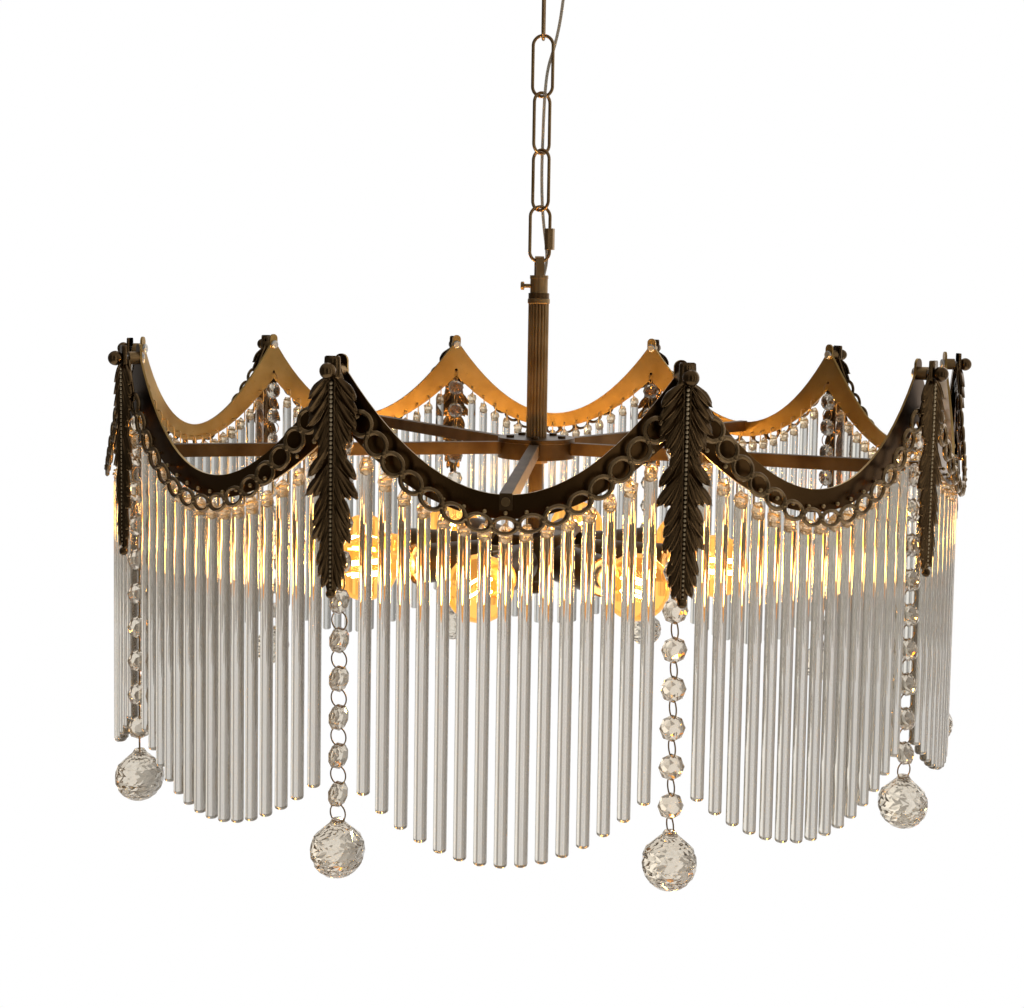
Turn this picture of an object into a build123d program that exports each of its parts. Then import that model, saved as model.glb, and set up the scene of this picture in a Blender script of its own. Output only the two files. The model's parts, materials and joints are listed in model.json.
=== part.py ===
from build123d import *
import math
import os

# Round chandelier on a chain: a scalloped brass band carries glass rods, cast leaves, ring garlands and
# crystal strings. Millimetres, +Z up, origin on the ceiling plane in the middle of the mounting strap.
# Angles around the axis start at -Y, the front, and grow towards +X.

# Ceiling fitting
STRAP_LENGTH = 100.0
STRAP_WIDTH = 20.0
STRAP_THICK = 3.0
STRAP_HOLE_SPACING = 70.0
STRAP_HOLE_RADIUS = 2.5
CANOPY_RADIUS = 60.0
CANOPY_HEIGHT = 32.0
CANOPY_WALL = 1.2
CANOPY_ROUND = 20.0
NIPPLE_RADIUS = 5.0
NIPPLE_BORE_RADIUS = 3.0
NIPPLE_NUT_FLATS = 14.0
NIPPLE_NUT_HEIGHT = 5.0
TERMINAL_SIZE = (18.0, 14.0, 12.0)
TERMINAL_OFFSET = 22.0
CANOPY_COLLAR_RADIUS = 8.0
CANOPY_COLLAR_HEIGHT = 12.0
CANOPY_RING_RADIUS = 8.0
CANOPY_RING_WIRE_RADIUS = 2.0
CANOPY_RING_SINK = 1.5
BUSHING_RADIUS = 3.0
BUSHING_FLANGE_RADIUS = 4.5
BUSHING_FLANGE_THICK = 1.5
BUSHING_REACH = 3.0

# Chain, quick link and cord
LINK_LENGTH = 46.4
LINK_WIDTH = 17.0
LINK_WIRE_RADIUS = 1.2
LINK_TURNS = (90.0, -3.0, 42.0, -35.0)
QUICK_LENGTH = 42.6
QUICK_TURN = 10.0
QUICK_GAP = 5.5
SLEEVE_FLATS = 6.4
SLEEVE_LENGTH = 15.6
CORD_RADIUS = 1.2

# Hang loop, stem and threaded rod
LOOP_INNER_WIDTH = 9.0
LOOP_INNER_HEIGHT = 12.4
LOOP_STRAP_WIDTH = 6.0
LOOP_STRAP_THICK = 1.8
LOOP_BASE_RADIUS = 6.8
LOOP_BASE_THICK = 2.5
LOOP_CORD_HOLE = (3.2, 2.1)
LOOP_CORD_HOLE_RADIUS = 2.2
COLLAR_RADIUS = 6.5
COLLAR_HEIGHT = 10.5
COLLAR_ROOM = 2.5
COLLAR_ROOM_RADIUS = 5.2
THUMB_SHANK_RADIUS = 1.5
THUMB_REACH = 7.0
THUMB_KNOB_RADIUS = 3.1
THUMB_KNOB_THICK = 2.6
LOCK_RING_RADIUS = 7.7
LOCK_RING_HEIGHT = 3.8
CAP_RADIUS = 8.2
CAP_HEIGHT = 4.2
STEM_CORE_RADIUS = 6.5
STEM_REED_RADIUS = 1.1
STEM_REEDS = 18
STEM_LENGTH = 98.5
ROD_RADIUS = 4.0
ROD_BORE_RADIUS = 2.5

# Hub and arms
HUB_RADIUS = 28.5
HUB_PLATE_THICK = 3.0
HUB_RIM_THICK = 3.0
HUB_SCREW_CIRCLE = 20.0
HUB_SCREW_RADIUS = 1.5
HUB_SCREW_HEAD_RADIUS = 2.9
HUB_SCREW_HEAD_THICK = 1.8
HUB_NUT_FLATS = 15.0
HUB_NUT_HEIGHT = 4.3
ARM_WIDTH = 7.0
ARM_HEIGHT = 9.0
ARM_START = 10.0
ARM_TONGUE_THICK = 1.0
ARM_TAB_THICK = 1.2
ARM_TAB_DROP = 9.0
ARM_SCREW_RADIUS = 1.5
ARM_SCREW_HEAD_RADIUS = 2.4
ARM_SCREW_HEAD_THICK = 1.4
ARM_SCREW_LENGTH = 14.0

# Scalloped band
BAND_RADIUS = 297.0
BAND_THICK = 1.5
SWAGS = 10
SWAG_DROP = 73.0
BAND_WIDTH = 13.0
PEAK_NOTCH_DROP = 38.0
PEAK_SHOULDER_DROP = 4.0
PEAK_TAB_WIDTH = 8.0
PEAK_TAB_HEIGHT = 16.0

# Leaf, garland and the bolt that holds them at each peak
BOLT_DROP = 9.0
BOLT_RADIUS = 2.0
BOLT_HEAD_RADIUS = 3.6
BOLT_HEAD_THICK = 2.2
SPACER_LENGTH = 6.0
SPACER_RADIUS = 4.0
BALL_NUT_RADIUS = 4.6
LEAF_THICK = 2.2
LEAF_TOP_DROP = 1.0
LEAF_RIB_RADIUS = 1.5
GARLAND_RINGS = 15
GARLAND_RING_RADIUS = 6.0
GARLAND_RING_RIM = 2.6
GARLAND_THICK = 2.0
GARLAND_LOW_DROP = 85.5
GARLAND_END_DROP = 40.0
GARLAND_END_OFFSET = 15.0
GARLAND_TAB_WIDTH = 6.0

# Glass rods and their hooks
RODS_PER_SWAG = 15
ROD_PEAK_OFFSET = 15.5
GLASS_ROD_RADIUS = 3.7
GLASS_ROD_LENGTH = 186.5
GLASS_HEAD_RADIUS = 3.2
GLASS_NECK_RADIUS = 2.4
GLASS_NECK_LENGTH = 3.4
GLASS_HOLE_RADIUS = 1.1
GLASS_END_ROUND = 1.8
HOOK_WIRE_RADIUS = 0.5
HOOK_HOLE_RISE = 3.5
HOOK_DROP = 9.65
HOOK_BACK = 4.6
HOOK_FRONT = 4.4
HOOK_BEND = 1.5
HOOK_HEAD_RADIUS = 1.2

# Crystal strings
STRING_HOLE_DROP = 33.0
STRING_HOLE_RADIUS = 1.3
RING_RADIUS = 5.3
RING_WIRE_RADIUS = 0.5
BEADS = 10
BEAD_RADIUS = 7.0
BEAD_TABLE_DEPTH = 3.2
BEAD_TAPER = 30.0
BEAD_GIRDLE = 0.8
BEAD_HOLE_OFFSET = 5.0
BEAD_HOLE_RADIUS = 1.1
CRYSTAL_RADIUS = 15.0
CRYSTAL_NUB_RADIUS = 3.2
CRYSTAL_NUB_RISE = 3.0
CRYSTAL_NUB_START = 9.5
CRYSTAL_HOLE_DEPTH = 3.0
STRING_TURNS = (0.0, 70.0, 40.0, 0.0, 10.0, 0.0, 60.0, 30.0, 75.0, 80.0)
TURN_PER_BEAD = 20.0

# Lamps
LAMPS = 8
LAMP_PHASE = -12.0
LOWER_TUBE_RADIUS = 5.5
LOWER_TUBE_LENGTH = 51.7
LAMP_HUB_RADIUS = 22.0
LAMP_HUB_HEIGHT = 34.0
LAMP_HUB_WALL = 4.0
BOTTOM_NUT_RADIUS = 8.0
BOTTOM_NUT_HEIGHT = 12.0
LAMP_NIPPLE_RADIUS = 5.0
LAMP_NIPPLE_BORE_RADIUS = 3.0
CUP_START = 42.0
CUP_LENGTH = 56.0
CUP_RADIUS = 14.0
CUP_WALL = 1.2
CUP_BASE = 3.0
SOCKET_RECESS = 3.0
SOCKET_DEPTH = 18.0
BULB_CAP_RADIUS = 7.0
BULB_CAP_LENGTH = 22.0
BULB_TIP_RADIUS = 2.6
BULB_TIP_LENGTH = 2.0
BULB_RADIUS = 22.5
BULB_GLASS = 0.8
BULB_NECK_RADIUS = 8.6
BULB_NECK_LENGTH = 14.0
FILAMENTS = 4
FILAMENT_RADIUS = 0.8
FILAMENT_LENGTH = 24.0
FILAMENT_CIRCLE = 6.0

# Clearances
SEAT = 0.05
SLIP = 0.1
LOOSE = 0.3

TOP = (Align.CENTER, Align.CENTER, Align.MAX)
BASE = (Align.CENTER, Align.CENTER, Align.MIN)


# Small helpers
def post(radius, z_top, z_bottom):
    """Upright cylinder on the axis between two heights."""
    return Pos(0, 0, z_top) * Cylinder(radius, z_top - z_bottom, align=TOP)


def sleeve(radius, bore, z_top, z_bottom):
    """Upright tube on the axis."""
    return post(radius, z_top, z_bottom) - post(bore, z_top + 1, z_bottom - 1)


def hex_nut(flats, bore, z_top, z_bottom):
    """Upright hexagonal nut on the axis."""
    prism = extrude(RegularPolygon(flats / 2, 6, major_radius=False), amount=z_top - z_bottom)
    return Pos(0, 0, z_bottom) * prism - post(bore, z_top + 1, z_bottom - 1)


def spoke(radius, start, end, z):
    """Cylinder that points outwards at the front, from one distance off the axis to another."""
    return Pos(0, -start, z) * Rot(90, 0, 0) * Cylinder(radius, end - start, align=BASE)


def around(shape, angles):
    """Copies of a front shape, turned about the axis."""
    return [Rot(0, 0, angle) * shape for angle in angles]


def group(shapes):
    """One node made of separate solids."""
    return Compound(children=[solid for shape in shapes for solid in shape.solids()])


def front_plate(face, start, thick):
    """Face drawn across the front, made into a plate that starts at a distance off the axis."""
    return extrude(Plane.XZ.offset(start) * face, amount=thick)


# Heights, from the ceiling down
Z_CANOPY = -CANOPY_HEIGHT
Z_RING = Z_CANOPY - CANOPY_COLLAR_HEIGHT - CANOPY_RING_RADIUS - CANOPY_RING_WIRE_RADIUS + CANOPY_RING_SINK
Z_SWING = Z_RING - CANOPY_RING_RADIUS
LINK_STEP = 2 * LINK_WIRE_RADIUS + LOOSE
Z_LINK_1 = Z_SWING + CANOPY_RING_WIRE_RADIUS + LINK_WIRE_RADIUS + LOOSE
LINK_PITCH = LINK_LENGTH - 2 * LINK_WIRE_RADIUS - LINK_STEP
Z_LINKS = [Z_LINK_1 - i * LINK_PITCH for i in range(len(LINK_TURNS))]
Z_QUICK = Z_LINK_1 - len(LINK_TURNS) * LINK_PITCH
Z_QUICK_END = Z_QUICK - QUICK_LENGTH + 2 * LINK_WIRE_RADIUS
QUICK_INNER_BEND = LINK_WIDTH / 2 - 2 * LINK_WIRE_RADIUS
QUICK_RISE = QUICK_INNER_BEND - math.sqrt(QUICK_INNER_BEND ** 2 - (LOOP_STRAP_WIDTH / 2) ** 2)
Z_CROWN = Z_QUICK_END + LINK_WIRE_RADIUS + QUICK_RISE + LOOSE
Z_LOOP_BASE = Z_CROWN - LOOP_INNER_HEIGHT
Z_COLLAR = Z_LOOP_BASE - LOOP_BASE_THICK
Z_LOCK_RING = Z_COLLAR - COLLAR_HEIGHT
Z_CAP = Z_LOCK_RING - LOCK_RING_HEIGHT
Z_STEM = Z_CAP - CAP_HEIGHT
Z_HUB = Z_STEM - STEM_LENGTH
Z_ARM = Z_HUB - HUB_PLATE_THICK
Z_LOWER_PLATE = Z_ARM - ARM_HEIGHT
Z_HUB_NUT = Z_LOWER_PLATE - HUB_PLATE_THICK
Z_LOWER_TUBE = Z_HUB_NUT - HUB_NUT_HEIGHT
Z_LAMP_HUB = Z_LOWER_TUBE - LOWER_TUBE_LENGTH
Z_BOTTOM_NUT = Z_LAMP_HUB - LAMP_HUB_HEIGHT
Z_LAMP = Z_LAMP_HUB - LAMP_HUB_HEIGHT / 2
Z_TIP = Z_ARM - ARM_TONGUE_THICK + SWAG_DROP

# Places around the ring
SWAG_ANGLE = 360 / SWAGS
SWAG_ANGLES = [i * SWAG_ANGLE for i in range(SWAGS)]
PEAK_ANGLES = [(i + 0.5) * SWAG_ANGLE for i in range(SWAGS)]
ARM_ANGLES = SWAG_ANGLES[:2 * (SWAGS // 2):2]
LAMP_ANGLES = [LAMP_PHASE + i * 360 / LAMPS for i in range(LAMPS)]
HALF_SWAG = BAND_RADIUS * math.sin(math.radians(SWAG_ANGLE / 2))
BAND_OUTER = BAND_RADIUS + BAND_THICK / 2
BAND_INNER = BAND_RADIUS - BAND_THICK / 2
GARLAND_BACK = BAND_OUTER + SPACER_LENGTH + SEAT
LEAF_BACK = GARLAND_BACK + GARLAND_THICK
LEAF_FRONT = LEAF_BACK + LEAF_THICK
Z_BOLT = Z_TIP - BOLT_DROP
Z_STRING_HOLE = Z_TIP - STRING_HOLE_DROP
Z_ARM_SCREW = Z_ARM - ARM_HEIGHT / 2


def swag_height(offset, low, end):
    """Height of a parabola across a swag, from its low point and its height at the peaks."""
    return low + (end - low) * (offset / HALF_SWAG) ** 2


def swag_curve(reach, low, end):
    """That parabola as a curve, drawn across the front from -reach to reach."""
    z_end = swag_height(reach, low, end)
    return Bezier((-reach, z_end), (0, 2 * low - z_end), (reach, z_end))


def lower_edge(offset):
    """Height of the band's lower edge at a distance from a swag's middle."""
    return swag_height(offset, Z_TIP - SWAG_DROP - BAND_WIDTH, Z_TIP - PEAK_NOTCH_DROP)


# Ceiling fitting
def make_mounting_strap():
    bar = Pos(0, 0, 0) * Box(STRAP_LENGTH, STRAP_WIDTH, STRAP_THICK, align=TOP)
    holes = [Pos(side * STRAP_HOLE_SPACING / 2, 0, 0) * post(STRAP_HOLE_RADIUS, 1, -STRAP_THICK - 1)
             for side in (-1, 1)]
    return bar - holes - post(NIPPLE_RADIUS + SEAT, 1, -STRAP_THICK - 1)


def make_canopy():
    outer = post(CANOPY_RADIUS, 0, Z_CANOPY)
    outer = fillet(outer.edges().sort_by(Axis.Z)[0], CANOPY_ROUND)
    inner = post(CANOPY_RADIUS - CANOPY_WALL, 0, Z_CANOPY + CANOPY_WALL)
    inner = fillet(inner.edges().sort_by(Axis.Z)[0], CANOPY_ROUND - CANOPY_WALL)
    shell = outer - inner - post(NIPPLE_RADIUS + SEAT, 0, Z_CANOPY - 1)
    return shell - bushing_place() * post(BUSHING_RADIUS + SEAT, 0, Z_CANOPY - 1)


def bushing_place():
    return Pos(CORD_ROUTE[0][0], CORD_ROUTE[0][1], 0)


def make_cord_bushing():
    tube = post(BUSHING_RADIUS, Z_CANOPY + CANOPY_WALL, Z_CANOPY - BUSHING_REACH)
    flange = post(BUSHING_FLANGE_RADIUS, Z_CANOPY, Z_CANOPY - BUSHING_FLANGE_THICK)
    bore = post(CORD_RADIUS + LOOSE, 0, Z_CANOPY - CANOPY_HEIGHT)
    return bushing_place() * (tube + flange - bore)


def make_canopy_loop():
    collar = post(CANOPY_COLLAR_RADIUS, Z_CANOPY, Z_CANOPY - CANOPY_COLLAR_HEIGHT)
    socket_end = Z_CANOPY - CANOPY_COLLAR_HEIGHT * 0.7
    ring = Pos(0, 0, Z_RING) * Rot(90, 0, 0) * Torus(CANOPY_RING_RADIUS, CANOPY_RING_WIRE_RADIUS)
    return collar + ring - post(NIPPLE_RADIUS + SEAT, Z_CANOPY + 1, socket_end)


def make_canopy_nipple():
    nipple_end = Z_CANOPY - CANOPY_COLLAR_HEIGHT * 0.7 + SLIP
    return sleeve(NIPPLE_RADIUS, NIPPLE_BORE_RADIUS, 0, nipple_end)


def make_terminal_block():
    return Pos(-TERMINAL_OFFSET, 0, -STRAP_THICK) * Box(*TERMINAL_SIZE, align=TOP)


# Chain and quick link
def link_body(length):
    """Oval link across the front, its top wire centred on the origin."""
    centre_length = length - 2 * LINK_WIRE_RADIUS
    bend = LINK_WIDTH / 2 - LINK_WIRE_RADIUS
    side = centre_length / 2 - bend
    middle = -centre_length / 2
    path = Wire([
        Line((bend, 0, middle - side), (bend, 0, middle + side)),
        ThreePointArc((bend, 0, middle + side), (0, 0, 0), (-bend, 0, middle + side)),
        Line((-bend, 0, middle + side), (-bend, 0, middle - side)),
        ThreePointArc((-bend, 0, middle - side), (0, 0, -centre_length), (bend, 0, middle - side)),
    ])
    section = Plane(origin=path @ 0, z_dir=path % 0) * Circle(LINK_WIRE_RADIUS)
    return sweep(section, path)


def make_chain_link(index):
    return Pos(0, 0, Z_LINKS[index]) * Rot(0, 0, LINK_TURNS[index]) * link_body(LINK_LENGTH)


QUICK_SIDE_X = LINK_WIDTH / 2 - LINK_WIRE_RADIUS
Z_QUICK_SIDE_LOW = Z_QUICK_END + QUICK_SIDE_X
Z_SLEEVE = Z_QUICK_SIDE_LOW + LOOSE + LINK_WIRE_RADIUS
QUICK_SIDE_LENGTH = Z_QUICK - Z_QUICK_END - 2 * QUICK_SIDE_X


def make_quick_link():
    gap = Pos(QUICK_SIDE_X, 0, Z_SLEEVE + LOOSE - Z_QUICK) * Box(LINK_WIDTH / 2, LINK_WIDTH, QUICK_GAP, align=BASE)
    return Pos(0, 0, Z_QUICK) * Rot(0, 0, QUICK_TURN) * (link_body(QUICK_LENGTH) - gap)


def make_quick_link_sleeve():
    nut = hex_nut(SLEEVE_FLATS, LINK_WIRE_RADIUS + SLIP, SLEEVE_LENGTH, 0)
    return Rot(0, 0, QUICK_TURN) * Pos(QUICK_SIDE_X, 0, Z_SLEEVE) * nut


# Supply cord: hand-chosen points from inside the canopy, through the links, into the stem collar
CORD_ROUTE = (
    (19.0, 3.0, -28.0),
    (19.0, 3.0, -36.0),
    (17.6, 3.4, -48.0),
    (14.4, 4.2, -66.0),
    (12.0, 5.2, -87.0),
    (8.2, 5.0, -105.0),
    (3.6, 1.6, -121.0),
    (2.2, -4.4, -138.0),
    (1.4, -2.6, -156.0),
    (0.6, 4.4, -176.0),
    (0.2, 5.6, -198.0),
    (1.0, 5.6, -221.0),
    (2.6, 6.2, -237.0),
    (4.4, 6.2, -249.5),
    (5.4, 4.4, -259.5),
    (4.2, 3.4, -269.0),
    (1.9, 2.4, -277.0),
)


def cord_radii():
    """Largest bend at each inner point that its two runs leave room for."""
    points = [Vector(*point) for point in CORD_ROUTE]
    radii = []
    for before, here, after in zip(points, points[1:], points[2:]):
        turn = (here - before).get_angle(after - here)
        shorter = min((here - before).length, (after - here).length)
        radii.append(0.45 * shorter / math.tan(math.radians(turn / 2)))
    return radii


def make_supply_cord():
    path = FilletPolyline(*CORD_ROUTE, radius=cord_radii())
    section = Plane(origin=path @ 0, z_dir=path % 0) * Circle(CORD_RADIUS)
    cord = sweep(section, path)
    ideal = math.pi * CORD_RADIUS ** 2 * path.length
    print(f"supply cord: length {path.length:.1f} mm, volume {cord.volume:.1f} of {ideal:.1f} mm3, "
          f"radii {', '.join(f'{radius:.0f}' for radius in cord_radii())} mm")
    return cord


# Hang loop and stem
def make_hang_loop():
    outer_width = LOOP_INNER_WIDTH + 2 * LOOP_STRAP_THICK
    bend = outer_width / 2
    inner_bend = LOOP_INNER_WIDTH / 2

    def arch(width, radius, top):
        straight = Pos(0, 0, Z_LOOP_BASE) * Box(LOOP_STRAP_WIDTH, width, top - radius - Z_LOOP_BASE, align=BASE)
        crown = Pos(0, 0, top - radius) * Rot(0, 90, 0) * Cylinder(radius, LOOP_STRAP_WIDTH)
        return straight + crown

    strap = arch(outer_width, bend, Z_CROWN + LOOP_STRAP_THICK) - arch(LOOP_INNER_WIDTH, inner_bend, Z_CROWN)
    base = post(LOOP_BASE_RADIUS, Z_LOOP_BASE, Z_COLLAR)
    hole = Pos(*LOOP_CORD_HOLE, 0) * post(LOOP_CORD_HOLE_RADIUS, Z_LOOP_BASE, Z_COLLAR - 1)
    return Rot(0, 0, QUICK_TURN) * (strap + base - hole)


Z_ROD_TOP = Z_COLLAR - COLLAR_ROOM
Z_THUMB = Z_COLLAR - COLLAR_HEIGHT / 2


def make_loop_collar():
    body = sleeve(COLLAR_RADIUS, ROD_RADIUS + SEAT, Z_COLLAR, Z_LOCK_RING)
    room = post(COLLAR_ROOM_RADIUS, Z_COLLAR + 1, Z_ROD_TOP)
    thread = Rot(0, 0, -90) * spoke(THUMB_SHANK_RADIUS + SLIP, ROD_RADIUS, COLLAR_RADIUS + 1, Z_THUMB)
    return body - room - thread


def make_thumbscrew():
    end = COLLAR_RADIUS + THUMB_REACH
    shank = spoke(THUMB_SHANK_RADIUS, ROD_RADIUS + LOOSE, end, Z_THUMB)
    knob = spoke(THUMB_KNOB_RADIUS, end - THUMB_KNOB_THICK, end, Z_THUMB)
    knob = fillet(knob.edges(), THUMB_KNOB_THICK / 4)
    return Rot(0, 0, -90) * (shank + knob)


def make_stem():
    reeds = [place * Circle(STEM_REED_RADIUS) for place in PolarLocations(STEM_CORE_RADIUS, STEM_REEDS)]
    section = Circle(STEM_CORE_RADIUS) + reeds - Circle(ROD_RADIUS + LOOSE)
    return Pos(0, 0, Z_HUB) * extrude(section, amount=STEM_LENGTH)


def make_stem_cap():
    cap = sleeve(CAP_RADIUS, ROD_RADIUS + SEAT, Z_CAP, Z_STEM)
    rims = cap.edges().filter_by(GeomType.CIRCLE).group_by(SortBy.RADIUS)[-1]
    return fillet(rims, CAP_HEIGHT / 4)


# Hub and arms
def hub_screw_holes(z_top, z_bottom):
    hole = Pos(0, -HUB_SCREW_CIRCLE, 0) * post(HUB_SCREW_RADIUS + SLIP, z_top, z_bottom)
    return around(hole, ARM_ANGLES)


def make_hub_plate(z_top):
    plate = sleeve(HUB_RADIUS, ROD_RADIUS + SEAT, z_top, z_top - HUB_PLATE_THICK)
    return plate - hub_screw_holes(z_top + 1, z_top - HUB_PLATE_THICK - 1)


def make_hub_bottom():
    """Lower plate with a rim up to the top plate, slotted for the arms."""
    rim = sleeve(HUB_RADIUS, HUB_RADIUS - HUB_RIM_THICK, Z_ARM - SLIP, Z_LOWER_PLATE)
    slot = Pos(0, 0, Z_ARM) * Box(
        ARM_WIDTH + 2 * SLIP, 2 * HUB_RADIUS, ARM_HEIGHT, align=(Align.CENTER, Align.MAX, Align.MAX))
    return make_hub_plate(Z_LOWER_PLATE) + (rim - around(slot, ARM_ANGLES))


def make_hub_screws():
    shank = post(HUB_SCREW_RADIUS, Z_HUB, Z_HUB_NUT)
    head = post(HUB_SCREW_HEAD_RADIUS, Z_HUB + HUB_SCREW_HEAD_THICK, Z_HUB)
    return group(around(Pos(0, -HUB_SCREW_CIRCLE, 0) * (shank + head), ARM_ANGLES))


def make_arms():
    end = BAND_INNER - SEAT
    bar = Pos(0, -ARM_START, Z_ARM) * Box(
        ARM_WIDTH, end - ARM_START, ARM_HEIGHT, align=(Align.CENTER, Align.MAX, Align.MAX))
    tab_back = BAND_OUTER + SEAT
    tongue_thick = ARM_TONGUE_THICK - LOOSE / 2
    tongue_length = tab_back + ARM_TAB_THICK - end + ARM_HEIGHT
    tongue = Pos(0, -end + ARM_HEIGHT, Z_ARM) * Box(
        ARM_WIDTH, tongue_length, tongue_thick, align=(Align.CENTER, Align.MAX, Align.MAX))
    tab = Pos(0, -tab_back, Z_ARM) * Box(
        ARM_WIDTH, ARM_TAB_THICK, ARM_TAB_DROP, align=(Align.CENTER, Align.MAX, Align.MAX))
    hub_hole = Pos(0, -HUB_SCREW_CIRCLE, 0) * post(HUB_SCREW_RADIUS + SLIP, Z_ARM + 1, Z_LOWER_PLATE - 1)
    screw_hole = spoke(ARM_SCREW_RADIUS + SLIP, end - ARM_SCREW_LENGTH, tab_back + ARM_TAB_THICK + 1, Z_ARM_SCREW)
    return group(around(bar + tongue + tab - hub_hole - screw_hole, ARM_ANGLES))


def make_arm_screws():
    seat = BAND_OUTER + SEAT + ARM_TAB_THICK
    shank = spoke(ARM_SCREW_RADIUS, BAND_INNER - ARM_SCREW_LENGTH, seat, Z_ARM_SCREW)
    head = spoke(ARM_SCREW_HEAD_RADIUS, seat, seat + ARM_SCREW_HEAD_THICK, Z_ARM_SCREW)
    return group(around(shank + head, ARM_ANGLES))


# Scalloped band
def rod_offsets():
    """Angle from the swag's middle to each glass rod."""
    reach = SWAG_ANGLE / 2 - math.degrees(ROD_PEAK_OFFSET / BAND_RADIUS)
    return [reach * (2 * i / (RODS_PER_SWAG - 1) - 1) for i in range(RODS_PER_SWAG)]


def rod_places():
    """Angle around the axis and height of the band's lower edge, for every glass rod."""
    places = []
    for swag in SWAG_ANGLES:
        for offset in rod_offsets():
            edge = lower_edge(BAND_RADIUS * math.sin(math.radians(offset)))
            places.append((swag + offset, edge))
    return places


def make_scalloped_band():
    lap = PEAK_TAB_WIDTH / 8
    reach = HALF_SWAG + lap
    top = swag_curve(reach, Z_TIP - SWAG_DROP, Z_TIP - PEAK_SHOULDER_DROP)
    low = swag_curve(reach, Z_TIP - SWAG_DROP - BAND_WIDTH, Z_TIP - PEAK_NOTCH_DROP)
    ends = [Line(low @ 0, top @ 0), Line(low @ 1, top @ 1)]
    depth = SPACER_LENGTH + BAND_RADIUS * (1 - math.cos(math.radians(SWAG_ANGLE / 2)))
    block = front_plate(make_face([top, low] + ends), BAND_OUTER - 2 * depth, 2 * depth + BAND_THICK)
    shell = sleeve(BAND_OUTER, BAND_INNER, Z_TIP + BAND_WIDTH, Z_TIP - SWAG_DROP - 2 * BAND_WIDTH)
    tab_face = Pos(0, Z_TIP - PEAK_TAB_HEIGHT / 2) * RectangleRounded(
        PEAK_TAB_WIDTH, PEAK_TAB_HEIGHT, PEAK_TAB_WIDTH * 0.49)
    tab = shell & front_plate(tab_face, BAND_INNER - SPACER_LENGTH, BAND_THICK + 2 * SPACER_LENGTH)
    swags = around(shell & block, SWAG_ANGLES) + around(tab, PEAK_ANGLES)
    band = swags[0].fuse(*swags[1:]).clean()
    peak_cut = (spoke(BOLT_RADIUS + SLIP, BAND_INNER - 1, BAND_OUTER + 1, Z_BOLT),
                spoke(STRING_HOLE_RADIUS, BAND_INNER - 1, BAND_OUTER + 1, Z_STRING_HOLE))
    cuts = [copy for cut in peak_cut for copy in around(cut, PEAK_ANGLES)]
    cuts += around(spoke(ARM_SCREW_RADIUS + SLIP, BAND_INNER - 1, BAND_OUTER + 1, Z_ARM_SCREW), ARM_ANGLES)
    for angle, edge in rod_places():
        hole = spoke(HOOK_WIRE_RADIUS + SLIP, BAND_INNER - 1, BAND_OUTER + 1, edge + HOOK_HOLE_RISE)
        cuts.append(Rot(0, 0, angle) * hole)
    return band.cut(*cuts)


# Leaf, garland and bolt at each peak
LEAF_CROWN = ((4.6, 4.6), (4.6, 9.0), (7.0, 15.0), (15.0, 23.0), (14.8, 35.0), (11.5, 43.0), (8.2, 49.0))
LEAF_LOBES = (
    ((11.5, 59.0), (9.2, 60.5)), ((14.2, 67.5), (11.2, 68.8)), ((15.5, 77.5), (8.0, 79.0)),
    ((11.2, 86.0), (8.8, 87.4)), ((11.6, 94.0), (8.4, 95.2)), ((9.9, 102.0), (6.4, 103.0)),
    ((8.7, 113.0), (6.2, 114.2)), ((7.6, 119.5), (4.8, 120.6)), ((5.0, 126.0), (2.6, 126.8)),
)
LEAF_END = 131.5
LOBE_SWELL = 0.8


def leaf_half(side):
    """Edges of one half of the leaf, from its top to its end; side is 1 or -1."""
    def at(half_width, drop):
        return Vector(side * half_width, Z_TIP - LEAF_TOP_DROP - drop)

    crown = [at(*point) for point in LEAF_CROWN]
    edges = [ThreePointArc(at(0, 0), at(LEAF_CROWN[0][0] * 0.71, LEAF_CROWN[0][1] * 0.29), crown[0])]
    edges += [Line(start, end) for start, end in zip(crown, crown[1:])]
    notch = crown[-1]
    for tip, next_notch in LEAF_LOBES:
        tip = at(*tip)
        middle = (notch + tip) * 0.5 + Vector(side * LOBE_SWELL, LOBE_SWELL)
        edges.append(ThreePointArc(notch, middle, tip))
        notch = at(*next_notch)
        edges.append(Line(tip, notch))
    last_half, last_drop = LEAF_LOBES[-1][1]
    edges.append(ThreePointArc(notch, at(last_half * 0.9, (last_drop + LEAF_END) / 2), at(0, LEAF_END)))
    return edges


def make_leaf_ornaments():
    plate = front_plate(make_face(leaf_half(1) + leaf_half(-1)), LEAF_BACK, LEAF_THICK)
    rib_top = Z_TIP - LEAF_TOP_DROP - LEAF_CROWN[2][1]
    rib_end = Z_TIP - LEAF_TOP_DROP - LEAF_LOBES[-1][0][1]
    rib = Pos(0, -LEAF_FRONT, 0) * post(LEAF_RIB_RADIUS, rib_top, rib_end)
    hole = spoke(BOLT_RADIUS + SLIP, LEAF_BACK - 1, LEAF_FRONT + 1, Z_BOLT)
    return group(around(plate + rib - hole, PEAK_ANGLES))


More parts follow.
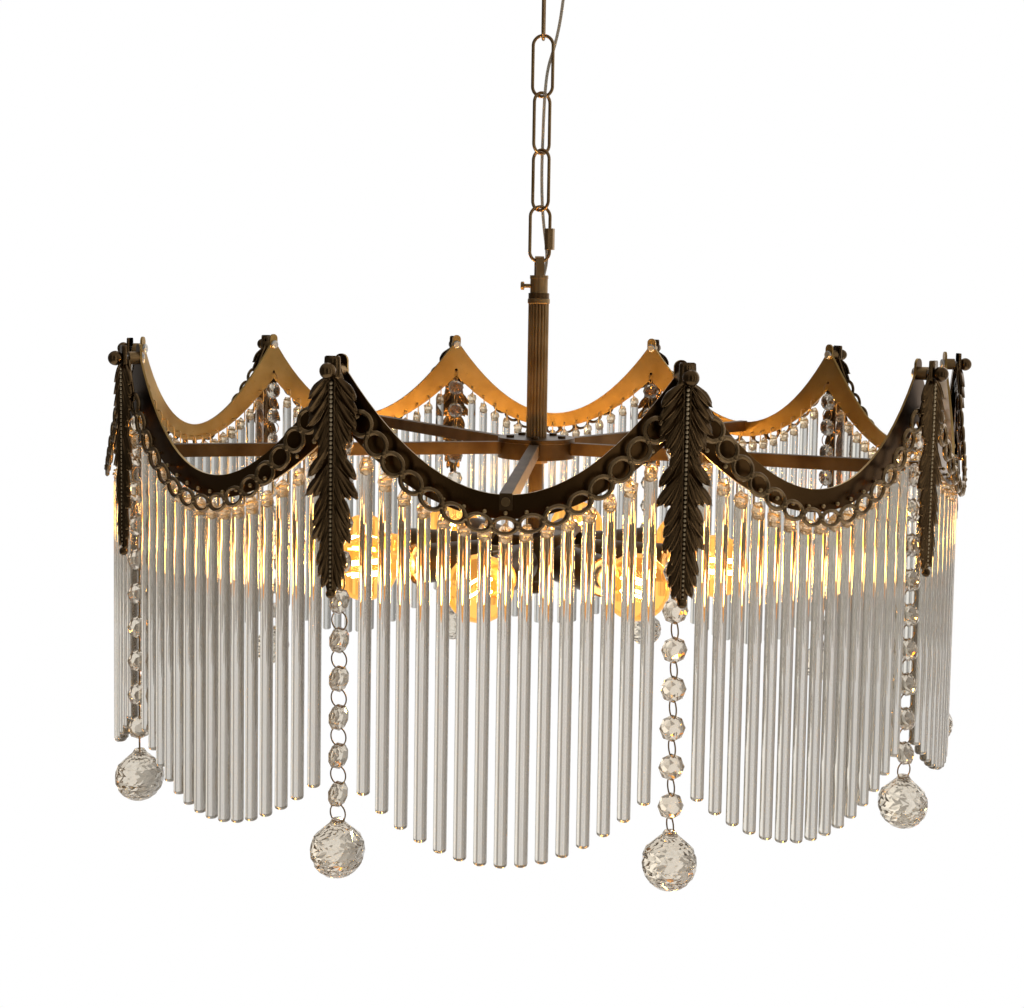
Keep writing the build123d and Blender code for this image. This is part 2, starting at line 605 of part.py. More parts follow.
def make_ring_garlands():
    reach = HALF_SWAG - GARLAND_END_OFFSET
    low = Z_TIP - GARLAND_LOW_DROP
    end = low + (GARLAND_LOW_DROP - GARLAND_END_DROP) * (HALF_SWAG / reach) ** 2
    curve = swag_curve(reach, low, end)
    outer = GARLAND_RING_RADIUS + GARLAND_RING_RIM / 2
    inner = GARLAND_RING_RADIUS - GARLAND_RING_RIM / 2
    spread = GARLAND_BACK / BAND_RADIUS
    places = []
    for i in range(GARLAND_RINGS):
        centre = curve.position_at(curve.length * i / (GARLAND_RINGS - 1), PositionMode.LENGTH)
        places.append(Pos(spread * centre.X, centre.Y))
    pattern = Sketch() + [place * Circle(outer) for place in places]
    pattern -= [place * Circle(inner) for place in places]
    z_top, z_bottom = Z_TIP, low - 2 * outer
    depth = GARLAND_THICK + GARLAND_BACK * (1 - math.cos(math.radians(SWAG_ANGLE / 2)))
    block = front_plate(pattern, LEAF_BACK - depth, 2 * depth)
    garland = sleeve(LEAF_BACK, GARLAND_BACK, z_top, z_bottom) & block
    tab_thick = GARLAND_THICK / 2
    strip_run = math.hypot(GARLAND_END_OFFSET, GARLAND_END_DROP - BOLT_DROP) - inner
    lean = math.degrees(math.atan2(GARLAND_END_OFFSET, GARLAND_END_DROP - BOLT_DROP))
    bolt_hole = spoke(BOLT_RADIUS + SLIP, GARLAND_BACK - 1, LEAF_BACK + 1, Z_BOLT)
    for side in (-1, 1):
        slot = Pos(0, -strip_run / 2) * Rot(0, 0, 90) * SlotCenterToCenter(strip_run, GARLAND_TAB_WIDTH)
        strip = Pos(0, Z_BOLT) * Rot(0, 0, -side * lean) * slot
        back = GARLAND_BACK + (tab_thick if side > 0 else 0)
        tab = sleeve(back + tab_thick, back, z_top, z_bottom) & front_plate(strip, LEAF_BACK - depth, 2 * depth)
        garland += Rot(0, 0, side * SWAG_ANGLE / 2) * (tab - bolt_hole)
    return group(around(garland, SWAG_ANGLES))


def make_peak_spacers():
    tube = spoke(SPACER_RADIUS, BAND_OUTER, BAND_OUTER + SPACER_LENGTH, Z_BOLT)
    return group(around(tube - spoke(BOLT_RADIUS + SLIP, BAND_INNER, LEAF_BACK, Z_BOLT), PEAK_ANGLES))


NUT_CENTRE = LEAF_FRONT + BALL_NUT_RADIUS * 0.8
BOLT_END = NUT_CENTRE + BALL_NUT_RADIUS / 2


def make_peak_bolts():
    seat = BAND_INNER - SEAT
    head = spoke(BOLT_HEAD_RADIUS, seat - BOLT_HEAD_THICK, seat, Z_BOLT)
    head = fillet(head.edges().sort_by(Axis.Y)[-1], BOLT_HEAD_THICK / 2)
    return group(around(head + spoke(BOLT_RADIUS, seat, BOLT_END, Z_BOLT), PEAK_ANGLES))


def make_ball_nuts():
    ball = Pos(0, -NUT_CENTRE, Z_BOLT) * Sphere(BALL_NUT_RADIUS)
    beyond = spoke(BALL_NUT_RADIUS * 2, LEAF_FRONT, NUT_CENTRE + 2 * BALL_NUT_RADIUS, Z_BOLT)
    thread = spoke(BOLT_RADIUS + SEAT, LEAF_BACK, BOLT_END + SLIP, Z_BOLT)
    return group(around((ball & beyond) - thread, PEAK_ANGLES))


# Glass rods and hooks
GLASS_HOLE_Z = HOOK_HOLE_RISE - HOOK_DROP - GLASS_HOLE_RADIUS + HOOK_WIRE_RADIUS + SEAT
GLASS_TOP_Z = GLASS_HOLE_Z + GLASS_HEAD_RADIUS


def glass_rod():
    """Rod at the front, with heights from the band's lower edge."""
    shoulder = GLASS_TOP_Z - 2 * GLASS_HEAD_RADIUS - GLASS_NECK_LENGTH / 2
    body = post(GLASS_ROD_RADIUS, shoulder, GLASS_TOP_Z - GLASS_ROD_LENGTH)
    body = fillet(body.edges().sort_by(Axis.Z)[0], GLASS_END_ROUND)
    body = chamfer(body.edges().sort_by(Axis.Z)[-1], GLASS_ROD_RADIUS - GLASS_NECK_RADIUS)
    neck = post(GLASS_NECK_RADIUS, GLASS_HOLE_Z, shoulder - SLIP)
    head = Pos(0, 0, GLASS_HOLE_Z) * Sphere(GLASS_HEAD_RADIUS)
    rod = Pos(0, -BAND_RADIUS, 0) * (body + neck + head)
    return rod - spoke(GLASS_HOLE_RADIUS, BAND_RADIUS - 5, BAND_RADIUS + 5, GLASS_HOLE_Z)


def rod_hook():
    """Wire hook at the front, with heights from the band's lower edge."""
    top, bottom = HOOK_HOLE_RISE, HOOK_HOLE_RISE - HOOK_DROP
    back = -(BAND_RADIUS - HOOK_BACK)
    path = FilletPolyline(
        (0, -BAND_OUTER - HOOK_HEAD_RADIUS, top), (0, back, top),
        (0, back, bottom), (0, -BAND_RADIUS - HOOK_FRONT, bottom), radius=HOOK_BEND)
    section = Plane(origin=path @ 0, z_dir=path % 0) * Circle(HOOK_WIRE_RADIUS)
    head = Pos(0, -BAND_OUTER - HOOK_HEAD_RADIUS - SEAT, top) * Sphere(HOOK_HEAD_RADIUS)
    return sweep(section, path) + head


def hang_along_edge(shape):
    return group([Rot(0, 0, angle) * Pos(0, 0, edge) * shape for angle, edge in rod_places()])


# Crystal strings
STRING_SLACK = BEAD_HOLE_RADIUS - RING_WIRE_RADIUS - SLIP
Z_PIVOT = Z_STRING_HOLE - (STRING_HOLE_RADIUS - RING_WIRE_RADIUS - LOOSE)
BEAD_PITCH = 2 * (RING_RADIUS + STRING_SLACK + BEAD_HOLE_OFFSET)
Z_BEAD_1 = Z_PIVOT - 2 * RING_RADIUS - STRING_SLACK - BEAD_HOLE_OFFSET


def crystal_bead():
    """Octagon bead that faces the front, centred on the origin."""
    octagon = RegularPolygon(BEAD_RADIUS, 8)
    table = BEAD_RADIUS - BEAD_TABLE_DEPTH * math.tan(math.radians(BEAD_TAPER))
    crown = loft([Pos(0, 0, BEAD_GIRDLE) * octagon,
                  Pos(0, 0, BEAD_GIRDLE + BEAD_TABLE_DEPTH) * RegularPolygon(table, 8)])
    girdle = extrude(octagon, amount=BEAD_GIRDLE, both=True)
    bead = Rot(90, 0, 0) * (crown + girdle + mirror(crown, Plane.XY))
    holes = [spoke(BEAD_HOLE_RADIUS, -BEAD_RADIUS, BEAD_RADIUS, side * BEAD_HOLE_OFFSET) for side in (-1, 1)]
    return bead - holes


CRYSTAL_HOLE_RISE = CRYSTAL_RADIUS + CRYSTAL_NUB_RISE - CRYSTAL_HOLE_DEPTH


def crystal_ball():
    """Ball centred on the origin, with a tapered nub on top that has the hole for its ring."""
    shoulder = math.sqrt(CRYSTAL_RADIUS ** 2 - CRYSTAL_NUB_START ** 2)
    nub_height = CRYSTAL_RADIUS + CRYSTAL_NUB_RISE - CRYSTAL_NUB_START
    nub = Pos(0, 0, CRYSTAL_NUB_START) * Cone(
        shoulder - SEAT, CRYSTAL_NUB_RADIUS, nub_height, align=(Align.CENTER, Align.CENTER, Align.MIN))
    hole = spoke(BEAD_HOLE_RADIUS, -CRYSTAL_RADIUS, CRYSTAL_RADIUS, CRYSTAL_HOLE_RISE)
    return Sphere(CRYSTAL_RADIUS) + nub - hole


def make_bead_string(index):
    wire_ring = Rot(0, 90, 0) * Torus(RING_RADIUS, RING_WIRE_RADIUS)
    bead = crystal_bead()
    line = Pos(0, -BAND_RADIUS, 0)
    solids = [line * Pos(0, 0, Z_PIVOT - RING_RADIUS) * wire_ring]
    for i in range(BEADS):
        turn = min(STRING_TURNS[index % len(STRING_TURNS)], TURN_PER_BEAD * i)
        z = Z_BEAD_1 - i * BEAD_PITCH
        place = line * Pos(0, 0, z) * Rot(0, 0, turn)
        solids.append(place * bead)
        solids.append(place * Pos(0, 0, -BEAD_PITCH / 2) * wire_ring)
    z_ball = Z_BEAD_1 - BEADS * BEAD_PITCH + BEAD_HOLE_OFFSET - CRYSTAL_HOLE_RISE
    solids.append(line * Pos(0, 0, z_ball) * Rot(0, 0, turn) * crystal_ball())
    return group(around(Compound(children=solids), [PEAK_ANGLES[index]]))


# Lamps
CUP_END = CUP_START + CUP_LENGTH
SOCKET_START = CUP_START + CUP_BASE
SOCKET_END = CUP_END - SOCKET_RECESS
BULB_CAP_START = SOCKET_END - SOCKET_DEPTH + BULB_TIP_LENGTH + LOOSE
BULB_GLASS_START = BULB_CAP_START + BULB_CAP_LENGTH
BULB_CENTRE = BULB_GLASS_START + BULB_NECK_LENGTH + math.sqrt(BULB_RADIUS ** 2 - BULB_NECK_RADIUS ** 2)


def make_lamp_hub():
    body = sleeve(LAMP_HUB_RADIUS, ROD_RADIUS + SEAT, Z_LAMP_HUB, Z_BOTTOM_NUT)
    body = fillet(body.edges().filter_by(GeomType.CIRCLE).group_by(SortBy.RADIUS)[-1], LAMP_HUB_WALL / 2)
    room = post(LAMP_HUB_RADIUS - LAMP_HUB_WALL, Z_LAMP_HUB - LAMP_HUB_WALL, Z_BOTTOM_NUT + LAMP_HUB_WALL)
    threads = around(spoke(LAMP_NIPPLE_RADIUS + SEAT, ROD_RADIUS, LAMP_HUB_RADIUS + 1, Z_LAMP), LAMP_ANGLES)
    return body - room - threads


def make_bottom_nut():
    dome = post(BOTTOM_NUT_RADIUS, Z_BOTTOM_NUT, Z_BOTTOM_NUT - BOTTOM_NUT_HEIGHT)
    dome = fillet(dome.edges().sort_by(Axis.Z)[0], BOTTOM_NUT_RADIUS * 0.6)
    return dome - post(ROD_RADIUS + SEAT, Z_BOTTOM_NUT + 1, Z_ROD_END - SLIP)


Z_ROD_END = Z_BOTTOM_NUT - BOTTOM_NUT_HEIGHT * 0.6


def make_lamp_nipples():
    start, end = LAMP_HUB_RADIUS - LAMP_HUB_WALL, SOCKET_START
    tube = spoke(LAMP_NIPPLE_RADIUS, start, end, Z_LAMP)
    return group(around(tube - spoke(LAMP_NIPPLE_BORE_RADIUS, start - 1, end + 1, Z_LAMP), LAMP_ANGLES))


def make_lamp_cups():
    cup = spoke(CUP_RADIUS, CUP_START, CUP_END, Z_LAMP)
    room = spoke(CUP_RADIUS - CUP_WALL, SOCKET_START, CUP_END + 1, Z_LAMP)
    thread = spoke(LAMP_NIPPLE_RADIUS + SEAT, CUP_START - 1, SOCKET_START + 1, Z_LAMP)
    return group(around(cup - room - thread, LAMP_ANGLES))


def make_lamp_sockets():
    body = spoke(CUP_RADIUS - CUP_WALL - SLIP, SOCKET_START, SOCKET_END, Z_LAMP)
    bore = spoke(BULB_CAP_RADIUS + LOOSE, SOCKET_END - SOCKET_DEPTH, SOCKET_END + 1, Z_LAMP)
    lead_way = spoke(LAMP_NIPPLE_BORE_RADIUS, SOCKET_START - 1, SOCKET_END - 2 * SOCKET_DEPTH, Z_LAMP)
    return group(around(body - bore - lead_way, LAMP_ANGLES))


def make_bulb(index):
    cap = spoke(BULB_CAP_RADIUS, BULB_CAP_START, BULB_GLASS_START, Z_LAMP)
    tip = spoke(BULB_TIP_RADIUS, BULB_CAP_START - BULB_TIP_LENGTH, BULB_CAP_START, Z_LAMP)

    skin = [
        Line((BULB_NECK_RADIUS, BULB_GLASS_START), (BULB_NECK_RADIUS, BULB_GLASS_START + BULB_NECK_LENGTH)),
        ThreePointArc((BULB_NECK_RADIUS, BULB_GLASS_START + BULB_NECK_LENGTH), (BULB_RADIUS, BULB_CENTRE),
                      (0, BULB_CENTRE + BULB_RADIUS)),
    ]
    room, room_neck = BULB_RADIUS - BULB_GLASS, BULB_NECK_RADIUS - BULB_GLASS
    room_start = BULB_CENTRE - math.sqrt(room ** 2 - room_neck ** 2)
    lining = [
        Line((room_neck, BULB_GLASS_START), (room_neck, room_start)),
        ThreePointArc((room_neck, room_start), (room, BULB_CENTRE), (0, BULB_CENTRE + room)),
    ]
    ends = [Line(skin[0] @ 0, lining[0] @ 0), Line(skin[1] @ 1, lining[1] @ 1)]
    turned = revolve(Plane.XZ * make_face(skin + lining + ends), Axis.Z)
    glass = Pos(0, 0, Z_LAMP) * Rot(90, 0, 0) * turned
    foot_end = BULB_CENTRE - FILAMENT_LENGTH / 2
    foot = spoke(FILAMENT_CIRCLE / 2, BULB_GLASS_START, foot_end, Z_LAMP)
    foot += spoke(FILAMENT_CIRCLE + 2 * FILAMENT_RADIUS, foot_end - FILAMENT_RADIUS, foot_end, Z_LAMP)
    bar = spoke(FILAMENT_RADIUS, foot_end - FILAMENT_RADIUS, foot_end + FILAMENT_LENGTH, 0)
    for i in range(FILAMENTS):
        turn = math.radians(45 + i * 360 / FILAMENTS)
        foot += Pos(FILAMENT_CIRCLE * math.cos(turn), 0, Z_LAMP + FILAMENT_CIRCLE * math.sin(turn)) * bar
    return group(around(Compound(children=[cap + tip, glass, foot]), [LAMP_ANGLES[index]]))


# Every node by name
def build_nodes():
    nodes = {
        "mounting_strap": make_mounting_strap(),
        "canopy": make_canopy(),
        "canopy_nipple": make_canopy_nipple(),
        "nipple_nut": hex_nut(
            NIPPLE_NUT_FLATS, NIPPLE_RADIUS + SEAT, -STRAP_THICK, -STRAP_THICK - NIPPLE_NUT_HEIGHT),
        "canopy_loop": make_canopy_loop(),
        "terminal_block": make_terminal_block(),
        "cord_bushing": make_cord_bushing(),
        "quick_link": make_quick_link(),
        "quick_link_sleeve": make_quick_link_sleeve(),
        "supply_cord": make_supply_cord(),
        "hang_loop": make_hang_loop(),
        "loop_collar": make_loop_collar(),
        "thumbscrew": make_thumbscrew(),
        "lock_ring": sleeve(LOCK_RING_RADIUS, ROD_RADIUS + SEAT, Z_LOCK_RING, Z_CAP),
        "stem_cap": make_stem_cap(),
        "stem": make_stem(),
        "threaded_rod": sleeve(ROD_RADIUS, ROD_BORE_RADIUS, Z_ROD_TOP, Z_ROD_END),
        "hub_top_plate": make_hub_plate(Z_HUB),
        "hub_bottom_plate": make_hub_bottom(),
        "hub_screws": make_hub_screws(),
        "hub_nut": hex_nut(HUB_NUT_FLATS, ROD_RADIUS + SEAT, Z_HUB_NUT, Z_LOWER_TUBE),
        "arms": make_arms(),
        "arm_screws": make_arm_screws(),
        "scalloped_band": make_scalloped_band(),
        "leaf_ornaments": make_leaf_ornaments(),
        "ring_garlands": make_ring_garlands(),
        "peak_spacers": make_peak_spacers(),
        "peak_bolts": make_peak_bolts(),
        "ball_nuts": make_ball_nuts(),
        "rod_hooks": hang_along_edge(rod_hook()),
        "glass_rods": hang_along_edge(glass_rod()),
        "lower_tube": sleeve(LOWER_TUBE_RADIUS, ROD_RADIUS + SEAT, Z_LOWER_TUBE, Z_LAMP_HUB),
        "lamp_hub": make_lamp_hub(),
        "bottom_nut": make_bottom_nut(),
        "lamp_nipples": make_lamp_nipples(),
        "lamp_cups": make_lamp_cups(),
        "lamp_sockets": make_lamp_sockets(),
    }
    for i in range(len(LINK_TURNS)):
        nodes[f"chain_link_{i + 1}"] = make_chain_link(i)
    for i in range(LAMPS):
        nodes[f"bulb_{i + 1}"] = make_bulb(i)
    for i in range(SWAGS):
        nodes[f"bead_string_{i + 1}"] = make_bead_string(i)
    return nodes


os.makedirs("parts", exist_ok=True)
for node_name, node_shape in build_nodes().items():
    export_step(node_shape, f"parts/{node_name}.step")
print(f"ring tips at z {Z_TIP:.1f}, swing axis at z {Z_SWING:.1f}, string pivots at z {Z_PIVOT:.2f}, "
      f"lamps at z {Z_LAMP:.1f}, sleeve foot at z {Z_SLEEVE:.1f}, thumbscrew at z {Z_THUMB:.1f}")
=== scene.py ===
import json
import math

import bmesh
import bpy
from mathutils import Matrix, Vector


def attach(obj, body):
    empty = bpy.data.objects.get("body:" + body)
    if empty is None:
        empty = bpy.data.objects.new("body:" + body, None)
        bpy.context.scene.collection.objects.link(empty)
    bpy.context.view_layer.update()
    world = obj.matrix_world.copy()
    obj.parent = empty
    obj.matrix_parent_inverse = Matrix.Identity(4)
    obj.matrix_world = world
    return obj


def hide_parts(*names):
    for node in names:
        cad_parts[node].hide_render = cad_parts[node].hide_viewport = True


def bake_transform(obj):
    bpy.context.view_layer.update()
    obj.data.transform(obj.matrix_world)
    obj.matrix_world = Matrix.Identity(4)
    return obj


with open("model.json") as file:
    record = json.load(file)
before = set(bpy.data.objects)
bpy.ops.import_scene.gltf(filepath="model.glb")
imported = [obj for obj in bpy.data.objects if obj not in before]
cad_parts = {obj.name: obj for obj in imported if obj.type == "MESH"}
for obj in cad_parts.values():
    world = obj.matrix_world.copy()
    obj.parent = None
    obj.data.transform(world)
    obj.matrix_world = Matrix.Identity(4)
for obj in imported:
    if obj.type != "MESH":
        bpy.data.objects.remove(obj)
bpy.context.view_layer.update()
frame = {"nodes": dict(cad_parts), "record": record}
nodes = frame["nodes"]
scene = bpy.context.scene

# Sizes shared with the CAD model, in metres
MM = 0.001
Z_TIP = -323.011 * MM
BAND_RADIUS = 297.0 * MM
SWAGS = 10
SWAG_ANGLE = 360 / SWAGS
HALF_SWAG = BAND_RADIUS * math.sin(math.radians(SWAG_ANGLE / 2))
GARLAND_BACK = 303.8 * MM
LEAF_BACK = 305.8 * MM
Z_PIVOT = Z_TIP - 33.5 * MM
Z_LAMP = -480.011 * MM
LAMP_ANGLES = [-12.0 + 45.0 * i for i in range(8)]
PEAK_ANGLES = [(i + 0.5) * SWAG_ANGLE for i in range(SWAGS)]
SWAG_ANGLES = [i * SWAG_ANGLE for i in range(SWAGS)]


# Mesh helpers: a shape is a pair of lists, points and faces
def make_object(name, shape, material, smooth=True):
    mesh = bpy.data.meshes.new(name)
    mesh.from_pydata([tuple(point) for point in shape[0]], [], shape[1])
    work = bmesh.new()
    work.from_mesh(mesh)
    bmesh.ops.recalc_face_normals(work, faces=work.faces)
    work.to_mesh(mesh)
    work.free()
    mesh.update()
    mesh.materials.append(material)
    mesh.polygons.foreach_set("use_smooth", [smooth] * len(mesh.polygons))
    piece = bpy.data.objects.new(name, mesh)
    scene.collection.objects.link(piece)
    return piece


def join(shapes):
    points, faces = [], []
    for shape in shapes:
        start = len(points)
        points.extend(shape[0])
        faces.extend([tuple(i + start for i in face) for face in shape[1]])
    return points, faces


def moved(shape, matrix):
    return [matrix @ Vector(point) for point in shape[0]], shape[1]


def turned(shape, degrees):
    return moved(shape, Matrix.Rotation(math.radians(degrees), 4, "Z"))


def at(x, y, z):
    return Matrix.Translation((x, y, z))


def grid(rows):
    """Quads over rows of points, all of one length; each row is closed."""
    points = [Vector(point) for row in rows for point in row]
    width = len(rows[0])
    faces = []
    for i in range(len(rows) - 1):
        for j in range(width):
            k = (j + 1) % width
            faces.append((i * width + j, i * width + k, (i + 1) * width + k, (i + 1) * width + j))
    return points, faces


def lathe(profile, sides):
    """Turned shape about Z from (radius, height) pairs, with a flat face over each end."""
    rows = []
    for radius, height in profile:
        row = []
        for j in range(sides):
            angle = 2 * math.pi * j / sides
            row.append((radius * math.cos(angle), radius * math.sin(angle), height))
        rows.append(row)
    points, faces = grid(rows)
    faces.append(tuple(reversed(range(sides))))
    faces.append(tuple(range(len(points) - sides, len(points))))
    return points, faces


def ring(radius, thick, high, around=28, across=8):
    """Ring about Z with an oval section."""
    rows = []
    for i in range(around):
        angle = 2 * math.pi * i / around
        row = []
        for j in range(across):
            turn = 2 * math.pi * j / across
            r = radius + thick / 2 * math.cos(turn)
            row.append((r * math.cos(angle), r * math.sin(angle), high / 2 * math.sin(turn)))
        rows.append(row)
    rows.append(rows[0])
    points, faces = grid(rows)
    size = around * across
    return points[:size], [tuple(i % size for i in face) for face in faces]


def ball(radius, sides=10, rings=6):
    """Round ball whose poles are small flats."""
    profile = []
    for i in range(rings + 1):
        tilt = math.pi * i / rings
        profile.append((max(radius * math.sin(tilt), radius * 0.02), -radius * math.cos(tilt)))
    return lathe(profile, sides)


def cut_ball(radius, nub):
    """Cut crystal ball with a tapered nub on top: rows of flat facets, each row turned half a step."""
    sides, count, shoulder = 16, 11, 0.62
    corner = radius / math.cos(math.pi / sides)
    rows = []
    for i in range(1, count + 1):
        tilt = math.pi * i / (count + 1)
        r, z = corner * math.sin(tilt), -corner * math.cos(tilt)
        if z > shoulder * radius:
            share = (z / radius - shoulder) / (1 - shoulder)
            r, z = r * (1 - share) + nub * share, z + 0.2 * radius * share
        row = []
        for j in range(sides):
            angle = 2 * math.pi * (j + 0.5 * (i % 2)) / sides
            row.append((r * math.cos(angle), r * math.sin(angle), z))
        rows.append(row)
    points = [Vector(p) for row in rows for p in row]
    points += [Vector((0, 0, -1.06 * radius)), Vector((0, 0, 1.2 * radius))]
    faces = []
    for i in range(len(rows) - 1):
        for j in range(sides):
            k = (j + 1) % sides
            a, b, c, d = i * sides + j, i * sides + k, (i + 1) * sides + j, (i + 1) * sides + k
            faces += [(a, b, d), (a, d, c)] if i % 2 else [(a, b, c), (b, d, c)]
    low, high = len(points) - 2, len(points) - 1
    last = (len(rows) - 1) * sides
    for j in range(sides):
        k = (j + 1) % sides
        faces += [(low, k, j), (high, last + j, last + k)]
    return points, faces


# Turns a shape about Z so that its Z axis points outwards at the front
OUTWARD = Matrix.Rotation(math.radians(90), 4, "X")


# Materials
def new_material(name):
    material = bpy.data.materials.new(name)
    material.use_nodes = True
    tree = material.node_tree
    tree.nodes.clear()
    return material, tree


def node(tree, kind, **values):
    made = tree.nodes.new(kind)
    for key, value in values.items():
        if key in made.inputs:
            made.inputs[key].default_value = value
        else:
            setattr(made, key, value)
    return made


def ramp(tree, source, stops):
    made = node(tree, "ShaderNodeValToRGB")
    elements = made.color_ramp.elements
    elements[0].position, elements[0].color = stops[0]
    elements[1].position, elements[1].color = stops[-1]
    for position, colour in stops[1:-1]:
        elements.new(position).color = colour
    tree.links.new(source, made.inputs["Fac"])
    return made.outputs["Color"]


def noise(tree, coords, scale, detail=4.0, stretch=None):
    if stretch:
        mapping = node(tree, "ShaderNodeMapping", Scale=stretch)
        tree.links.new(coords, mapping.inputs["Vector"])
        coords = mapping.outputs["Vector"]
    made = node(tree, "ShaderNodeTexNoise", Scale=scale, Detail=detail)
    tree.links.new(coords, made.inputs["Vector"])
    return made.outputs["Fac"]


def connect(tree, value, socket):
    """Link a socket to another, or set its constant."""
    if isinstance(value, bpy.types.NodeSocket):
        tree.links.new(value, socket)
    else:
        socket.default_value = value


def mix_colour(tree, factor, first, second):
    made = node(tree, "ShaderNodeMix", data_type="RGBA")
    connect(tree, factor, made.inputs[0])
    connect(tree, first, made.inputs[6])
    connect(tree, second, made.inputs[7])
    return made.outputs[2]


def mix_shader(tree, factor, first, second):
    made = node(tree, "ShaderNodeMixShader")
    connect(tree, factor, made.inputs["Fac"])
    tree.links.new(first, made.inputs[1])
    tree.links.new(second, made.inputs[2])
    return made.outputs["Shader"]


def maths(tree, operation, first, second):
    made = node(tree, "ShaderNodeMath", operation=operation)
    connect(tree, first, made.inputs[0])
    connect(tree, second, made.inputs[1])
    return made.outputs["Value"]


def rgba(r, g, b):
    return (r, g, b, 1.0)


def surface(tree, shader):
    out = node(tree, "ShaderNodeOutputMaterial")
    tree.links.new(shader, out.inputs["Surface"])


def brass(name, light, dark, outward_shade=None, rough=(0.3, 0.5), grain=0.12, edge=0.0004, wear_and_highlight_gain=1.6,
          crease_shade_depth=None):
    """Antique brass with cloudy tarnish and fine grain.

    Faces that look away from the axis take the outward colour: painted shade on the side that the lamps
    inside don't light. Edge is the width of the lighter edges and the gain how much lighter they are:
    rubbed wear, and with a high gain painted highlight lines on ridges. The crease depth is how deep the
    relief gets painted shade.
    """
    material, tree = new_material(name)
    coords = node(tree, "ShaderNodeTexCoord")
    cloud = noise(tree, coords.outputs["Object"], 45.0, 6.0)
    colour = ramp(tree, cloud, [(0.32, rgba(*dark)), (0.68, rgba(*light))])
    # Faces that look away from the axis get a darker colour: painted shade where the lamps inside don't
    # reach.
    if outward_shade:
        flat = node(tree, "ShaderNodeVectorMath", operation="MULTIPLY")
        flat.inputs[1].default_value = (1, 1, 0)
        tree.links.new(coords.outputs["Object"], flat.inputs[0])
        outward = node(tree, "ShaderNodeVectorMath", operation="NORMALIZE")
        tree.links.new(flat.outputs["Vector"], outward.inputs[0])
        facing = node(tree, "ShaderNodeVectorMath", operation="DOT_PRODUCT")
        tree.links.new(outward.outputs["Vector"], facing.inputs[0])
        tree.links.new(coords.outputs["Normal"], facing.inputs[1])
        share = ramp(tree, facing.outputs["Value"], [(0.05, rgba(0, 0, 0)), (0.6, rgba(1, 1, 1))])
        thick, thin = rgba(*[0.7 * c for c in outward_shade]), rgba(*[1.3 * c for c in outward_shade])
        colour = mix_colour(tree, share, colour, mix_colour(tree, cloud, thick, thin))
    # Edges get lighter: rubbed wear, and with a high gain painted highlight lines along ridges.
    bevel = node(tree, "ShaderNodeBevel", samples=4, Radius=edge)
    geometry = node(tree, "ShaderNodeNewGeometry")
    level = node(tree, "ShaderNodeVectorMath", operation="DOT_PRODUCT")
    tree.links.new(bevel.outputs["Normal"], level.inputs[0])
    tree.links.new(geometry.outputs["Normal"], level.inputs[1])
    wear_and_highlight_mask = ramp(tree, level.outputs["Value"], [(0.80, rgba(0.6, 0.6, 0.6)), (0.97, rgba(0, 0, 0))])
    colour = mix_colour(tree, wear_and_highlight_mask, colour, rgba(*[min(1.0, wear_and_highlight_gain * c) for c in light]))
    # Creases in the relief get darker: painted shade.
    if crease_shade_depth:
        shade = node(tree, "ShaderNodeAmbientOcclusion", samples=6, Distance=crease_shade_depth)
        open_share = ramp(tree, shade.outputs["AO"], [(0.25, rgba(0, 0, 0)), (0.85, rgba(1, 1, 1))])
        colour = mix_colour(tree, open_share, rgba(*[0.25 * c for c in dark]), colour)
    fine = noise(tree, coords.outputs["Object"], 900.0, 3.0)
    roughness = node(tree, "ShaderNodeMapRange")
    roughness.inputs["To Min"].default_value, roughness.inputs["To Max"].default_value = rough
    tree.links.new(fine, roughness.inputs["Value"])
    bump = node(tree, "ShaderNodeBump", Strength=grain, Distance=0.0003)
    tree.links.new(fine, bump.inputs["Height"])
    tree.links.new(bevel.outputs["Normal"], bump.inputs["Normal"])
    shader = node(tree, "ShaderNodeBsdfPrincipled", Metallic=1.0)
    tree.links.new(colour, shader.inputs["Base Color"])
    tree.links.new(roughness.outputs["Result"], shader.inputs["Roughness"])
    tree.links.new(bump.outputs["Normal"], shader.inputs["Normal"])
    surface(tree, shader.outputs["BSDF"])
    return material


def glass(name, tint, strength, haze, ior=1.48, wave=None):
    """Clear uneven glass with a share of haze that catches lamp light; shadow rays pass through it."""
    material, tree = new_material(name)
    coords = node(tree, "ShaderNodeTexCoord")
    cloud = noise(tree, coords.outputs["Object"], 30.0, 3.0, wave)
    colour = mix_colour(tree, cloud, rgba(*tint), rgba(*[min(1.0, 1.06 * c) for c in tint]))
    bump = node(tree, "ShaderNodeBump", Strength=strength, Distance=0.0004)
    tree.links.new(noise(tree, coords.outputs["Object"], 220.0, 2.0, wave), bump.inputs["Height"])
    shader = node(tree, "ShaderNodeBsdfPrincipled", Roughness=0.0, IOR=ior)
    shader.inputs["Transmission Weight"].default_value = 1.0
    tree.links.new(colour, shader.inputs["Base Color"])
    tree.links.new(bump.outputs["Normal"], shader.inputs["Normal"])
    through = node(tree, "ShaderNodeBsdfTransparent")
    tree.links.new(colour, through.inputs["Color"])
    milk = node(tree, "ShaderNodeBsdfTranslucent")
    tree.links.new(colour, milk.inputs["Color"])
    body = mix_shader(tree, haze, shader.outputs["BSDF"], milk.outputs["BSDF"])
    path = node(tree, "ShaderNodeLightPath")
    surface(tree, mix_shader(tree, path.outputs["Is Shadow Ray"], body, through.outputs["BSDF"]))
    return material


